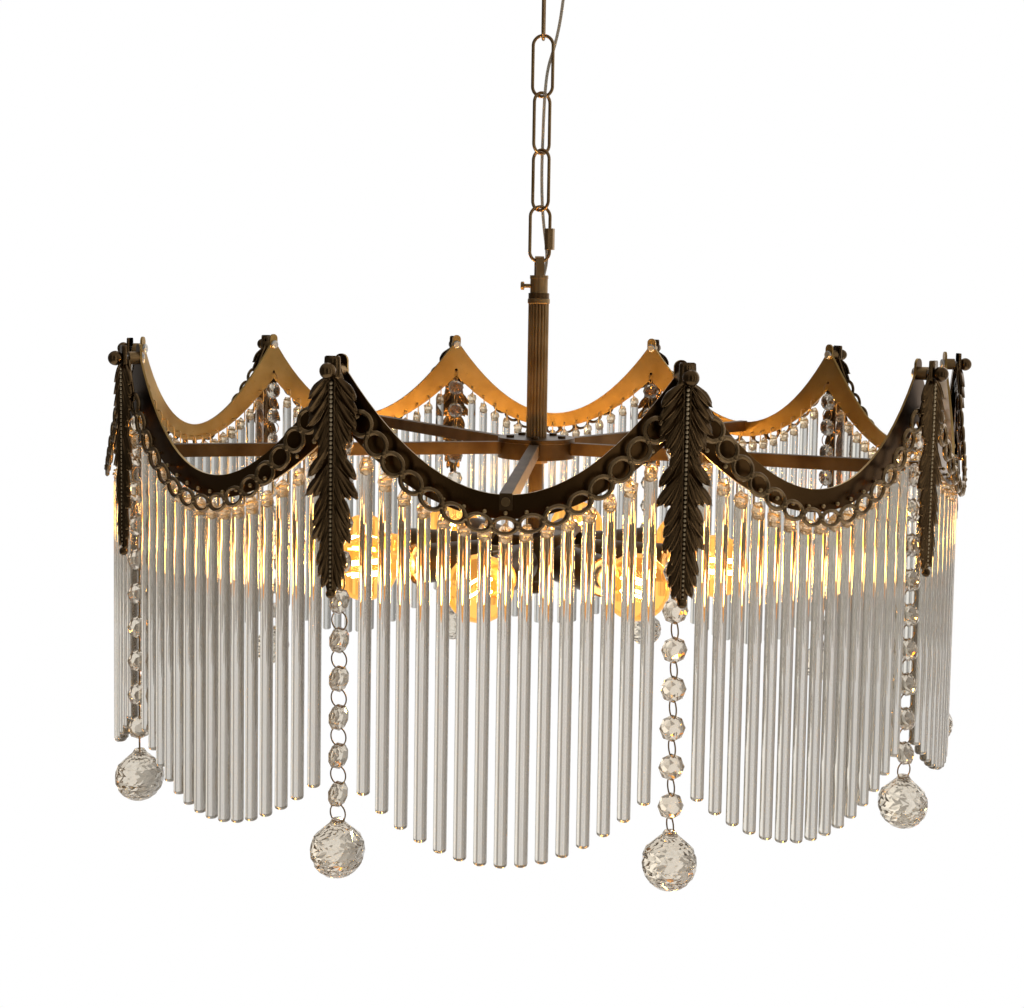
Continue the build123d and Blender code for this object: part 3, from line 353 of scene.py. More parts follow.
def thin_glass(name, tint, glow, strength):
    """Amber bulb wall: light passes straight through, with a sheen at the rim and a soft inner glow."""
    material, tree = new_material(name)
    coords = node(tree, "ShaderNodeTexCoord")
    cloud = noise(tree, coords.outputs["Object"], 25.0, 3.0)
    weight = node(tree, "ShaderNodeLayerWeight", Blend=0.12)
    colour = mix_colour(tree, cloud, rgba(*tint), rgba(*[0.9 * c for c in tint]))
    through = node(tree, "ShaderNodeBsdfTransparent")
    tree.links.new(colour, through.inputs["Color"])
    sheen = node(tree, "ShaderNodeBsdfGlossy", Roughness=0.04)
    wall = mix_shader(tree, weight.outputs["Fresnel"], through.outputs["BSDF"], sheen.outputs["BSDF"])
    light = node(tree, "ShaderNodeEmission", Color=rgba(*glow), Strength=strength)
    total = node(tree, "ShaderNodeAddShader")
    tree.links.new(wall, total.inputs[0])
    tree.links.new(light.outputs["Emission"], total.inputs[1])
    surface(tree, total.outputs["Shader"])
    return material


def glowing(name, core, strength):
    """Lit filament, a little uneven along its length."""
    material, tree = new_material(name)
    coords = node(tree, "ShaderNodeTexCoord")
    cloud = noise(tree, coords.outputs["Object"], 400.0, 2.0)
    colour = mix_colour(tree, cloud, rgba(*core), rgba(core[0], core[1] * 0.9, core[2] * 0.75))
    shader = node(tree, "ShaderNodeEmission", Strength=strength)
    tree.links.new(colour, shader.inputs["Color"])
    surface(tree, shader.outputs["Emission"])
    return material


def plastic(name, colour, rough, through=0.0):
    """Moulded plastic, cloudy and a little uneven; through is the share of light that passes."""
    material, tree = new_material(name)
    coords = node(tree, "ShaderNodeTexCoord")
    cloud = noise(tree, coords.outputs["Object"], 120.0, 4.0)
    tone = mix_colour(tree, cloud, rgba(*[0.88 * c for c in colour]), rgba(*colour))
    shader = node(tree, "ShaderNodeBsdfPrincipled", Roughness=rough)
    shader.inputs["Transmission Weight"].default_value = through
    bump = node(tree, "ShaderNodeBump", Strength=0.08, Distance=0.0002)
    tree.links.new(cloud, bump.inputs["Height"])
    tree.links.new(tone, shader.inputs["Base Color"])
    tree.links.new(bump.outputs["Normal"], shader.inputs["Normal"])
    surface(tree, shader.outputs["BSDF"])
    return material


BRASS = brass("antique_brass", (0.35, 0.23, 0.108), (0.205, 0.126, 0.055))
# Darker copy of the antique brass for the hub, cups, tube and nuts: painted shade.
SHADED_BRASS = brass("shaded_brass", (0.13, 0.08, 0.037), (0.07, 0.041, 0.018))
# Pale brass on the rib beads: painted highlight standing in for their tiny glints.
PAINTED_SHINE_BRASS = brass("bead_painted_shine_brass", (0.62, 0.50, 0.33), (0.46, 0.35, 0.21), rough=(0.3, 0.45))
ARM = brass("arm_brass", (0.135, 0.085, 0.04), (0.078, 0.046, 0.02), rough=(0.42, 0.6))
GARLAND = brass("garland_brass", (0.25, 0.165, 0.083), (0.145, 0.09, 0.041), rough=(0.16, 0.28),
                grain=0.05)
# The band's outward faces get a dark colour: painted shade on the side away from the lamps.
BAND = brass("band_brass", (0.43, 0.28, 0.10), (0.33, 0.205, 0.067), outward_shade=(0.09, 0.047, 0.017),
             rough=(0.24, 0.36))
# Dark castings: painted highlight lines on their ridges and painted shade in their creases.
DARK = brass("dark_cast_brass", (0.145, 0.09, 0.042), (0.082, 0.048, 0.021), rough=(0.15, 0.25),
             grain=0.05, edge=0.0008, wear_and_highlight_gain=5.0, crease_shade_depth=0.0014)
CHAIN = brass("chain_brass", (0.36, 0.24, 0.12), (0.22, 0.13, 0.055), rough=(0.22, 0.36))
STEEL = brass("zinc_steel", (0.60, 0.60, 0.58), (0.46, 0.46, 0.45), rough=(0.3, 0.45))
WIRE = brass("hook_brass", (0.60, 0.45, 0.24), (0.46, 0.33, 0.16), rough=(0.25, 0.4), edge=0.0001)
# The grey of the rods is painted shade standing in for the dim room seen through them.
ROD_GLASS = glass("rod_glass", (0.60, 0.595, 0.57), 0.02, 0.05, wave=(1.0, 1.0, 0.12))
# The amber of the eyes is painted glow of the lamps.
EYE_GLASS = glass("eye_glass", (0.84, 0.72, 0.54), 0.6, 0.1)
CRYSTAL = glass("cut_crystal", (0.72, 0.665, 0.57), 0.02, 0.03, ior=1.54)
BULB_GLASS = thin_glass("bulb_glass", (0.96, 0.70, 0.34), (1.0, 0.48, 0.11), 0.32)
FILAMENT = glowing("lit_filament", (1.0, 0.74, 0.40), 150.0)
CLEAR_CORD = plastic("clear_flex", (0.62, 0.56, 0.46), 0.2, through=0.4)
WHITE = plastic("white_moulding", (0.82, 0.80, 0.76), 0.45)

MATERIAL_OF_SLOT = {
    "steel": STEEL, "brass": BRASS, "dark_brass": DARK, "chain_brass": CHAIN, "rod_glass": ROD_GLASS,
    "crystal": CRYSTAL, "bulb_glass": BULB_GLASS, "clear_cord": CLEAR_CORD, "white_plastic": WHITE,
}
OWN_MATERIAL = {"scalloped_band": BAND, "rod_hooks": WIRE, "arms": ARM}
# These parts get the darker brass as painted shade.
SHADED_NODES = ("hub_top_plate", "hub_bottom_plate", "hub_screws", "lamp_hub", "lamp_cups", "lower_tube",
              "bottom_nut", "lock_ring")
OWN_MATERIAL.update({name: SHADED_BRASS for name in SHADED_NODES})
for subpart in frame["record"]["subparts"]:
    cad = nodes[subpart["node"]]
    finish = OWN_MATERIAL.get(subpart["node"], MATERIAL_OF_SLOT[subpart["material_slot"]])
    cad.data.materials.clear()
    cad.data.materials.append(finish)


# Glass rods
RODS_PER_SWAG = 15
EYE_SHAPES = 6


def lower_edge(offset):
    """Height of the band's lower edge at a distance from the middle of a swag."""
    low, end = Z_TIP - 86.0 * MM, Z_TIP - 38.0 * MM
    return low + (end - low) * (offset / HALF_SWAG) ** 2


def rod_places():
    """Angle of each rod and height of the band's edge above it."""
    reach = SWAG_ANGLE / 2 - math.degrees(15.5 * MM / BAND_RADIUS)
    half_count = (RODS_PER_SWAG - 1) / 2
    for swag in SWAG_ANGLES:
        for i in range(RODS_PER_SWAG):
            offset = reach * (i / half_count - 1)
            yield swag + offset, lower_edge(BAND_RADIUS * math.sin(math.radians(offset)))


def rod_shape():
    """Pulled glass rod: a blunt end, a straight body and a neck that runs into the eye."""
    top, length, radius, rounding = -3.5, 186.5, 3.7, 1.8
    flat = 1.9
    profile = [(0.2, -length), (flat, -length)]
    for a in (0.4, 0.8, 1.2, math.pi / 2):
        profile.append((flat + rounding * math.sin(a), -length + rounding - rounding * math.cos(a)))
    profile += [(radius, -length * 0.66), (radius, -length * 0.33), (radius, -9.5)]
    profile += [(3.6, -7.6), (3.3, -6.4), (2.6, -5.6), (1.5, -5.2), (0.6, -5.0)]
    return lathe([(r * MM, (z + top) * MM) for r, z in profile], 20)


def eye_shape(seed):
    """Lumpy pressed eye at a rod's top, with flat glints."""
    work = bmesh.new()
    bmesh.ops.create_icosphere(work, subdivisions=2, radius=4.0 * MM)
    for vert in work.verts:
        x, y, z = vert.co / MM
        lump = 1 + 0.13 * math.sin(2.1 * x + seed) * math.sin(2.3 * y + 2 * seed)
        lump += 0.1 * math.sin(2.7 * z + 3 * seed)
        vert.co *= lump
        vert.co.y *= 0.85
        vert.co.z = vert.co.z * 1.3 - 8.0 * MM
    points = [vert.co.copy() for vert in work.verts]
    faces = [tuple(vert.index for vert in face.verts) for face in work.faces]
    work.free()
    return points, faces


one_rod = rod_shape()
eye_shapes = [eye_shape(seed) for seed in range(EYE_SHAPES)]
rods, eyes = [], []
for count, (angle, edge) in enumerate(rod_places()):
    place = Matrix.Rotation(math.radians(angle), 4, "Z") @ at(0, -BAND_RADIUS, edge)
    rods.append(moved(one_rod, place))
    eyes.append(moved(eye_shapes[count % EYE_SHAPES], place))
glass_rods = make_object("rods", join(rods), ROD_GLASS)
rod_eyes = make_object("rod_eyes", join(eyes), EYE_GLASS, smooth=False)
for piece in (glass_rods, rod_eyes):
    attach(piece, "fixture")
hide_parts("glass_rods")


# Ring garlands: cast rings with rounded rims, small bosses where they join, and a strap to each bolt
GARLAND_RINGS = 15


def garland_curve(share):
    """Point of the front garland at a share of its length: offset across, height and slope."""
    reach = HALF_SWAG - 15.0 * MM
    low, rise = Z_TIP - 88.5 * MM, 51.5 * MM
    steps = 400
    xs = [reach * (2 * i / steps - 1) for i in range(steps + 1)]
    zs = [low + rise * (x / reach) ** 2 for x in xs]
    lengths = [0.0]
    for i in range(steps):
        lengths.append(lengths[-1] + math.hypot(xs[i + 1] - xs[i], zs[i + 1] - zs[i]))
    target = share * lengths[-1]
    i = min(range(steps + 1), key=lambda k: abs(lengths[k] - target))
    return xs[i], zs[i], math.atan(2 * rise * xs[i] / reach ** 2)


def garland_shape():
    """Garland over the front swag: each ring is a flat rim with a raised bead, flatter in the middle."""
    parts = []
    thick, radius = 2.0 * MM, 5.9 * MM
    middle = GARLAND_BACK + thick / 2
    last = GARLAND_RINGS - 1
    centres = [garland_curve(i / last) for i in range(GARLAND_RINGS)]
    rim, bead_line = ring(radius, 2.9 * MM, thick), ring(radius, 1.1 * MM, 2.9 * MM, 28, 6)
    for i, (x, z, slope) in enumerate(centres):
        angle = math.degrees(math.asin(x / BAND_RADIUS))
        flat = 0.72 + 0.28 * abs(2 * i / last - 1)
        squash = Matrix.Diagonal((1.1, 1.0, flat, 1.0))
        oval = at(0, -middle, z) @ Matrix.Rotation(-slope, 4, "Y") @ squash @ OUTWARD
        for shape in (rim, bead_line):
            parts.append(turned(moved(shape, oval), angle))
    for (x0, z0, _), (x1, z1, _) in zip(centres, centres[1:]):
        angle = math.degrees(math.asin((x0 + x1) / 2 / BAND_RADIUS))
        boss = moved(ball(1.6 * MM), at(0, -middle - 0.5 * MM, (z0 + z1) / 2))
        parts.append(turned(boss, angle))
    return join(parts)


def strap_shape(side):
    """Flat strap at the front peak from the bolt down to a garland's last ring."""
    lean = side * math.atan2(15.0, 31.0)
    length, half, thick, steps = 29.0 * MM, 3.0 * MM, 1.0 * MM, 8
    back = -GARLAND_BACK - (thick if side < 0 else 0)
    front = back - thick
    px, pz = math.cos(lean) * half, math.sin(lean) * half
    rows = []
    for i in range(steps + 1):
        along = length * i / steps
        cx, cz = math.sin(lean) * along, Z_TIP - 9.0 * MM - math.cos(lean) * along
        rows.append([(cx - px, back, cz - pz), (cx + px, back, cz + pz),
                     (cx + px, front, cz + pz), (cx - px, front, cz - pz)])
    points, faces = grid(rows)
    faces += [(3, 2, 1, 0), tuple(len(points) - 4 + i for i in range(4))]
    return points, faces


one_garland = garland_shape()
straps = join([strap_shape(1), strap_shape(-1)])
castings = [turned(one_garland, angle) for angle in SWAG_ANGLES]
castings += [turned(straps, angle) for angle in PEAK_ANGLES]
garlands = make_object("garland_rings", join(castings), GARLAND)
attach(garlands, "fixture")
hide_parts("ring_garlands")


# Cast leaves: round-ended fingers on each side of a beaded rib, on a thin plate
def bezier(a, b, c, t):
    return a * (1 - t) ** 2 + b * (2 * t * (1 - t)) + c * t ** 2


def lobe(root, bend, tip, width, lift):
    """Round-ended finger on a curved line of (across, drop) points, with a width and a height, in mm."""
    steps, across, widest = 12, 13, 0.66
    a, b, c = (Vector((x, -drop)) for x, drop in (root, bend, tip))
    rows = []
    for i in range(steps + 1):
        t = i / steps
        centre = bezier(a, b, c, t)
        ahead = bezier(a, b, c, min(1.0, t + 0.02)) - bezier(a, b, c, max(0.0, t - 0.02))
        ahead.normalize()
        side = Vector((-ahead.y, ahead.x))
        if t > widest:
            swell = max(0.0, 1 - ((t - widest) / (1 - widest)) ** 2) ** 0.55
        else:
            swell = 0.3 + 0.7 * (t / widest) ** 1.3
        half = max(0.12, width / 2 * swell)
        front, back = [], []
        for j in range(across):
            u = 2 * j / (across - 1) - 1
            place = centre + side * (u * half)
            veins = 0.15 * math.cos(2 * math.pi * u) + 0.6 * max(0.0, 1 - abs(u) * 5)
            arch = 0.45 + 0.55 * math.sin(math.pi * (0.1 + 0.75 * t))
            rise = lift * (1 - 0.8 * u * u) * arch + veins
            front.append((place.x, 0.7 + rise, place.y))
            back.append((place.x, 0.0, place.y))
        rows.append(front + list(reversed(back)))
    points, faces = grid(rows)
    count = 2 * across
    faces.append(tuple(reversed(range(count))))
    faces.append(tuple(range(len(points) - count, len(points))))
    return points, faces


# Half outline of the core plate, and the tips that a raised finger runs to: half-width and drop
LEAF_EDGE = (
    (3.4, 0.0), (4.4, 0.8), (4.6, 9.0), (4.9, 12.0), (9.8, 17.5), (12.2, 23.0), (12.6, 34.0),
    (11.0, 42.0), (8.2, 48.5), (6.2, 51.0), (6.4, 57.0), (9.2, 61.5), (10.8, 67.0), (10.6, 73.0),
    (7.4, 76.8), (4.4, 79.0), (6.4, 82.5), (8.6, 88.0), (9.0, 94.0), (8.0, 99.5), (5.0, 101.8),
    (5.2, 107.0), (6.0, 111.0), (6.2, 115.0), (4.5, 120.4), (3.1, 125.6), (2.6, 127.5), (2.6, 130.0),
    (0.6, 131.2),
)
FINGER_TIPS = (
    (14.2, 23.8), (15.2, 31.5), (15.0, 39.0), (11.6, 46.4), (8.0, 50.2), (8.4, 56.7), (14.4, 66.1),
    (15.7, 76.6), (11.0, 77.0), (6.4, 78.4), (10.8, 87.2), (11.3, 93.2), (11.6, 100.6), (8.0, 101.2),
    (6.6, 107.6), (8.7, 114.2), (7.6, 120.2), (5.6, 126.4),
)


def slab(edge, thick):
    """Flat plate between mirrored edges of (half-width, drop) pairs."""
    rows = [[(-x, 0.0, -d), (x, 0.0, -d), (x, thick, -d), (-x, thick, -d)] for x, d in edge]
    points, faces = grid(rows)
    return points, faces + [(3, 2, 1, 0), tuple(len(points) - 4 + i for i in range(4))]


def leaf_shape():
    """One leaf at the front and the beads of its rib, built in mm with its back on LEAF_BACK."""
    rail_steps, bead_count = 12, 46
    parts = [slab(LEAF_EDGE, 0.9)]
    parts.append(slab([(3.4, 0.0), (4.3, 0.6), (4.5, 3.0), (4.6, 9.0), (4.0, 13.0)], 2.0))
    for x, drop in FINGER_TIPS:
        root, bend = (1.3, max(11.0, drop - 19.0)), (0.4 * x, max(13.0, drop - 11.0))
        for side in (-1, 1):
            line = [(side * a, b) for a, b in (root, bend, (x, drop))]
            parts.append(lobe(*line, 3.9 + 0.12 * x, 1.1 + 0.06 * x))
    for side in (-1, 1):
        rail = []
        for i in range(rail_steps + 1):
            t = i / rail_steps
            z = -13.5 - 114.5 * t
            rail.append([(side * (2.5 - 1.3 * t), 0.2, z), (side * (1.75 - 0.9 * t), 2.7 - 0.7 * t, z),
                         (side * (1.1 - 0.5 * t), 0.2, z)])
        parts.append(grid(rail))
    parts.append(moved(ball(2.8, 10, 8), at(0, 1.0, -129.0)))
    beads = []
    for i in range(bead_count):
        t = i / (bead_count - 1)
        beads.append(moved(ball(1.15 - 0.45 * t, 8, 5), at(0, 2.3 - 0.6 * t, -14.5 - 112 * t)))
    placed = []
    for points, faces in (join(parts), join(beads)):
        spots = [Vector((x * MM, -LEAF_BACK - y * MM, Z_TIP - 1.0 * MM + z * MM)) for x, y, z in points]
        placed.append((spots, faces))
    return placed


one_leaf, one_rib = leaf_shape()
leaves = make_object("leaf_castings", join([turned(one_leaf, angle) for angle in PEAK_ANGLES]), DARK)
ribs = make_object("leaf_beads", join([turned(one_rib, angle) for angle in PEAK_ANGLES]), PAINTED_SHINE_BRASS)
for piece in (leaves, ribs):
    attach(piece, "fixture")
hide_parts("leaf_ornaments")


# Crystal strings
def octagon(radius, y, turn=0.0):
    corners = [math.radians(45 * i + turn) for i in range(8)]
    return [(radius * math.cos(a), y, radius * math.sin(a)) for a in corners]


def bead_shape():
    """Cut octagon: a girdle, two rows of facets and a flat table on each face."""
    rows = [octagon(3.6, -4.0), octagon(6.0, -2.5, 22.5), octagon(7.4, -0.7), octagon(7.4, 0.7),
            octagon(6.0, 2.5, 22.5), octagon(3.6, 4.0)]
    points = [Vector(p) * MM for row in rows for p in row]
    faces = [tuple(range(8)), tuple(reversed(range(40, 48)))]
    for upper, lower, shift in ((0, 8, 0), (8, 16, 1), (24, 32, 0), (32, 40, 1)):
        for i in range(8):
            j = (i + 1) % 8
            if shift == 0:
                faces += [(upper + i, upper + j, lower + i), (upper + j, lower + j, lower + i)]
            else:
                faces += [(upper + i, upper + j, lower + j), (upper + i, lower + j, lower + i)]
    for i in range(8):
        j = (i + 1) % 8
        faces.append((16 + i, 16 + j, 24 + j, 24 + i))
    return points, faces


# How far each string is twisted by its last bead, in degrees
STRING_TURNS = (0.0, 70.0, 40.0, 0.0, 10.0, 0.0, 60.0, 30.0, 75.0, 80.0)
BEADS_PER_STRING = 10
RING_RADIUS = 5.3 * MM
RING_WIRE = 0.85 * MM
BEAD_PITCH = 21.6 * MM
BALL_RADIUS = 15.0 * MM
Z_BEAD_1 = Z_PIVOT - 16.1 * MM
Z_BALL = Z_BEAD_1 - BEADS_PER_STRING * BEAD_PITCH + 5.0 * MM - BALL_RADIUS
bead = bead_shape()
crystal = cut_ball(BALL_RADIUS, 3.2 * MM)
wire = ring(RING_RADIUS, RING_WIRE, RING_WIRE, 24, 6)
upright_ring = moved(wire, Matrix.Rotation(math.radians(90), 4, "Y"))
for index, angle in enumerate(PEAK_ANGLES):
    cut, rings = [], [moved(upright_ring, at(0, -BAND_RADIUS, Z_PIVOT - RING_RADIUS))]
    for i in range(BEADS_PER_STRING):
        turn = min(STRING_TURNS[index], 20.0 * i)
        place = at(0, -BAND_RADIUS, Z_BEAD_1 - i * BEAD_PITCH) @ Matrix.Rotation(math.radians(turn), 4, "Z")
        cut.append(moved(bead, place))
        rings.append(moved(upright_ring, place @ at(0, 0, -BEAD_PITCH / 2)))
    twist = Matrix.Rotation(math.radians(turn + 11), 4, "Z")
    cut.append(moved(crystal, at(0, -BAND_RADIUS, Z_BALL) @ twist))
    body = f"bead_string_{index + 1}"
    beads = make_object(f"crystals_{index + 1}", turned(join(cut), angle), CRYSTAL, smooth=False)
    hoops = make_object(f"crystal_rings_{index + 1}", turned(join(rings), angle), CHAIN)
    for piece, slot in ((beads, "crystal"), (hoops, "chain_brass")):
        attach(piece, body)
    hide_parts(body)


# Bulbs: clear globe, screw cap and lit filaments
def bulb_shapes():
    """Glass, cap and filaments along Z, which is the distance from the axis."""
    cap_start, glass_start, centre, radius = 79.3, 101.3, 136.092, 22.5
    neck_angle, steps = 29, 18
    wall = [(8.6, glass_start), (8.6, glass_start + 7), (8.9, glass_start + 11), (9.8, glass_start + 14.6)]
    for i in range(steps):
        a = math.radians(neck_angle + (180 - neck_angle) * i / steps)
        wall.append((radius * math.sin(a), centre - radius * math.cos(a)))
    wall.append((0.1, centre + radius))
    screw = [(2.6, cap_start - 2.0), (2.6, cap_start), (6.6, cap_start + 0.1)]
    for i in range(24):
        screw.append((6.75 + 0.25 * math.cos(math.pi * i), cap_start + 0.6 + 0.62 * i))
    screw += [(6.9, glass_start - 4), (7.0, glass_start - 0.4), (8.4, glass_start)]
    screw.append((8.4, glass_start + 1.2))
    mount_end = centre - 12.0
    stem = [(3.0, glass_start), (2.6, glass_start + 9), (1.6, glass_start + 16), (1.6, mount_end)]
    foot = [(7.6, mount_end - 0.8), (7.6, mount_end)]
    bar = [(0.8, mount_end), (0.8, centre + 11.6)]
    profiles = [[(r * MM, d * MM) for r, d in profile] for profile in (wall, screw, stem, foot, bar)]
    globe, cap, stalk, plate, filament = map(lathe, profiles, (32, 24, 12, 16, 8))
    spread = 6.0 * MM
    turns = [math.radians(45 + 90 * i) for i in range(4)]
    glow = [moved(filament, at(spread * math.cos(a), spread * math.sin(a), 0)) for a in turns]
    return globe, cap, join([stalk, plate]), join(glow)


bulb_parts = bulb_shapes()
BULB_PIECES = (
    ("globe", BULB_GLASS, "bulb_glass"), ("cap", STEEL, "steel"),
    ("mount", BULB_GLASS, "bulb_glass"), ("filaments", FILAMENT, "bulb_glass"),
)
LAMP_REACH = 0.136
for index, angle in enumerate(LAMP_ANGLES):
    body = f"bulb_{index + 1}"
    for shape, (word, material, slot) in zip(bulb_parts, BULB_PIECES):
        placed = turned(moved(shape, at(0, 0, Z_LAMP) @ OUTWARD), angle)
        piece = make_object(f"{body}_{word}", placed, material)
        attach(piece, body)
        if word == "globe":
            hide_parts(body)
    lamp = bpy.data.lights.new(f"{body}_light", "POINT")
    lamp.energy = 0.6
    lamp.color = (1.0, 0.76, 0.46)
    lamp.shadow_soft_size = 0.012
    light = bpy.data.objects.new(f"{body}_light", lamp)
    light.location = turned(([(0, -LAMP_REACH, Z_LAMP)], []), angle)[0][0]
    scene.collection.objects.link(light)


# Supply cord: a clear twin flex on the CAD route
CORD_ROUTE = (
    (19.0, 3.0, -28.0), (19.0, 3.0, -36.0), (17.6, 3.4, -48.0), (14.4, 4.2, -66.0), (12.0, 5.2, -87.0),
    (8.2, 5.0, -105.0), (3.6, 1.6, -121.0), (2.2, -4.4, -138.0), (1.4, -2.6, -156.0), (0.6, 4.4, -176.0),
    (0.2, 5.6, -198.0), (1.0, 5.6, -221.0), (2.6, 6.2, -237.0), (4.4, 6.2, -249.5), (5.4, 4.4, -259.5),
    (4.2, 3.4, -269.0), (1.9, 2.4, -277.0),
)


def cord_line():
    """Points of a smooth spline that has the route as its control points."""
    curve = bpy.data.curves.new("cord_line", "CURVE")
    curve.dimensions = "3D"
    spline = curve.splines.new("NURBS")
    spline.points.add(len(CORD_ROUTE) - 1)
    for control, place in zip(spline.points, CORD_ROUTE):
        control.co = (place[0] * MM, place[1] * MM, place[2] * MM, 1)
    spline.order_u = 3
    spline.use_endpoint_u = True
    spline.resolution_u = 10
    guide = bpy.data.objects.new("cord_line", curve)
    scene.collection.objects.link(guide)
    bpy.context.view_layer.update()
    graph = bpy.context.evaluated_depsgraph_get()
    line_mesh = bpy.data.meshes.new_from_object(guide.evaluated_get(graph))
    line = [vert.co.copy() for vert in line_mesh.vertices]
    bpy.data.objects.remove(guide)
    bpy.data.curves.remove(curve)
    bpy.data.meshes.remove(line_mesh)
    return line


def twin_tube(line, radius):
    """Two round cores side by side along a line."""
    sides = 8
    turns = [2 * math.pi * k / sides for k in range(sides)]
    parts = []
    for side in (-1, 1):
        rows = []
        for i, point in enumerate(line):
            ahead = (line[min(i + 1, len(line) - 1)] - line[max(i - 1, 0)]).normalized()
            across = ahead.cross(Vector((0.25, 1, 0))).normalized()
            out = across.cross(ahead).normalized()
            middle = point + across * (side * radius * 0.48)
            spokes = [across * math.cos(a) + out * math.sin(a) for a in turns]
            rows.append([middle + 0.52 * radius * spoke for spoke in spokes])
        points, faces = grid(rows)
        faces += [tuple(reversed(range(sides))), tuple(range(len(points) - sides, len(points)))]
        parts.append((points, faces))
    return join(parts)


line = cord_line()
cord = make_object("flex", twin_tube(line, 1.2 * MM), CLEAR_CORD)
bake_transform(cord)
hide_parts("supply_cord")


# Studio light by direction in degrees (0 behind the lamp, 90 to its right) and strength: soft panels
# behind and to the right, narrow strips beside the camera and a dim room
STUDIO_STOPS = (
    (-180, 0.07), (-160, 0.07), (-152, 0.8), (-144, 0.07), (-90, 0.11), (-60, 0.13), (-40, 0.24),
    (-20, 0.42), (-8, 0.52), (6, 0.52), (14, 0.27), (21, 0.55), (28, 1.6), (46, 1.6), (58, 0.7),
    (75, 0.9), (88, 0.6), (104, 0.2), (112, 0.2), (118, 2.2), (124, 0.2), (132, 0.1), (147, 0.1),
    (155, 1.4), (163, 0.08), (180, 0.07),
)
# How far the white backdrop reaches for metal and glass, and its share in what glass shows elsewhere
BACKDROP_LEFT, BACKDROP_RIGHT = 14, 9
PALE_ROOM = 0.2
BLACK, WHITE_LIGHT = rgba(0, 0, 0), rgba(1, 1, 1)


def make_world():
    """Studio as light, and a white backdrop for the camera and for what metal and glass show."""
    world = bpy.data.worlds.new("studio")
    world.use_nodes = True
    tree = world.node_tree
    tree.nodes.clear()
    coords = node(tree, "ShaderNodeTexCoord")
    parts = node(tree, "ShaderNodeSeparateXYZ")
    tree.links.new(coords.outputs["Generated"], parts.inputs["Vector"])
    share = node(tree, "ShaderNodeMapRange")
    share.inputs["From Min"].default_value = -math.pi
    share.inputs["From Max"].default_value = math.pi
    angle = maths(tree, "ARCTAN2", parts.outputs["X"], parts.outputs["Y"])
    tree.links.new(angle, share.inputs["Value"])
    stops = [((degrees + 180) / 360, rgba(level, 0.97 * level, 0.92 * level))
             for degrees, level in STUDIO_STOPS]
    walls = ramp(tree, share.outputs["Result"], stops)
    height = node(tree, "ShaderNodeMapRange")
    height.inputs["From Min"].default_value = -1.0
    tree.links.new(parts.outputs["Z"], height.inputs["Value"])
    floor_tone, ceiling_tone = rgba(0.16, 0.15, 0.14), rgba(0.42, 0.41, 0.40)
    ends = ramp(tree, height.outputs["Result"], [(0.1, floor_tone), (0.9, ceiling_tone)])
    steep = ramp(tree, height.outputs["Result"], [
        (0.08, WHITE_LIGHT), (0.28, BLACK), (0.72, BLACK), (0.92, WHITE_LIGHT)])
    studio = node(tree, "ShaderNodeBackground", Strength=1.0)
    tree.links.new(mix_colour(tree, steep, walls, ends), studio.inputs["Color"])
    backdrop = node(tree, "ShaderNodeBackground", Color=WHITE_LIGHT, Strength=1.0)
    left = 0.5 - BACKDROP_LEFT / 360
    right = 0.5 + BACKDROP_RIGHT / 360
    behind = ramp(tree, share.outputs["Result"], [
        (left - 0.01, BLACK), (left, WHITE_LIGHT), (right, WHITE_LIGHT), (right + 0.006, BLACK)])
    path = node(tree, "ShaderNodeLightPath")
    reflected = maths(tree, "MULTIPLY", path.outputs["Is Glossy Ray"], behind)
    around = maths(tree, "MAXIMUM", behind, PALE_ROOM)
    passed = maths(tree, "MULTIPLY", path.outputs["Is Transmission Ray"], around)
    bounced = maths(tree, "MAXIMUM", reflected, passed)
    seen = maths(tree, "MAXIMUM", path.outputs["Is Camera Ray"], bounced)
    mixed = mix_shader(tree, seen, studio.outputs["Background"], backdrop.outputs["Background"])
    out = node(tree, "ShaderNodeOutputWorld")
    tree.links.new(mixed, out.inputs["Surface"])
    scene.world = world


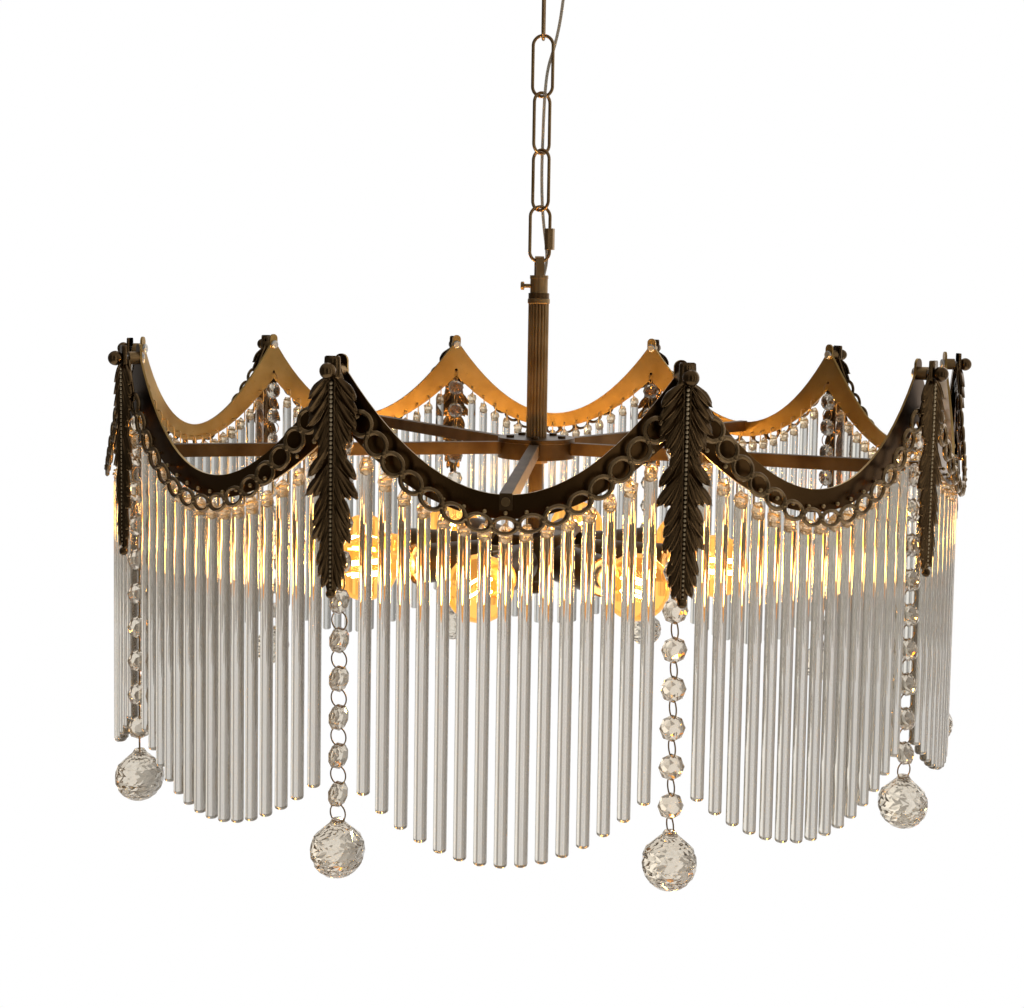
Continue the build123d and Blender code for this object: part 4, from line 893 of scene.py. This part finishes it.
def make_floor():
    """Pale round floor well below the lamp, lifted towards white for the camera, metal and glass."""
    radius, depth, lift = 2.2, 2.2, 0.55
    material, tree = new_material("pale_floor")
    coords = node(tree, "ShaderNodeTexCoord")
    cloud = noise(tree, coords.outputs["Object"], 3.0)
    tone = mix_colour(tree, cloud, rgba(0.80, 0.79, 0.77), rgba(0.86, 0.85, 0.83))
    path = node(tree, "ShaderNodeLightPath")
    bounced = maths(tree, "MAXIMUM", path.outputs["Is Glossy Ray"], path.outputs["Is Transmission Ray"])
    seen = maths(tree, "MAXIMUM", path.outputs["Is Camera Ray"], bounced)
    shader = node(tree, "ShaderNodeBsdfPrincipled", Roughness=0.7)
    shader.inputs["Emission Color"].default_value = WHITE_LIGHT
    tree.links.new(tone, shader.inputs["Base Color"])
    tree.links.new(maths(tree, "MULTIPLY", seen, lift), shader.inputs["Emission Strength"])
    surface(tree, shader.outputs["BSDF"])
    edge = [(0.01, 0.0), (radius - 0.02, 0.0), (radius, -0.02), (radius, -0.05), (0.01, -0.05)]
    make_object("floor", moved(lathe(edge, 64), at(0, 0, -depth)), material)


make_world()
make_floor()
scene.view_settings.view_transform = "Standard"


# Camera, fitted to the photograph
def make_camera():
    """Camera at the photograph's angle; lengths in pixels refer to its frame."""
    focal = 1404.0
    centre_x, centre_y = 537.0, 402.0
    wide, tall = 1024, 1008
    distance, height = 1038.6 * MM, 26.0 * MM
    azimuth, pitch, roll = 3.0, 3.8, 1.0
    a, p = math.radians(azimuth), math.radians(pitch)
    forward = Vector((-math.sin(a) * math.cos(p), math.cos(a) * math.cos(p), -math.sin(p)))
    right = forward.cross(Vector((0, 0, 1))).normalized()
    up = right.cross(forward)
    data = bpy.data.cameras.new("camera")
    data.sensor_width = 36.0
    data.lens = focal * data.sensor_width / wide
    data.shift_x = (wide / 2 - centre_x) / wide
    data.shift_y = (centre_y - tall / 2) / wide
    data.clip_start, data.clip_end = 0.05, 50.0
    camera = bpy.data.objects.new("camera", data)
    upright = Matrix((right, up, -forward)).transposed().to_4x4()
    turn = upright @ Matrix.Rotation(math.radians(roll), 4, "Z")
    place = Vector((distance * math.sin(a), -distance * math.cos(a), Z_TIP + height))
    camera.matrix_world = Matrix.Translation(place) @ turn
    scene.collection.objects.link(camera)
    scene.camera = camera


make_camera()
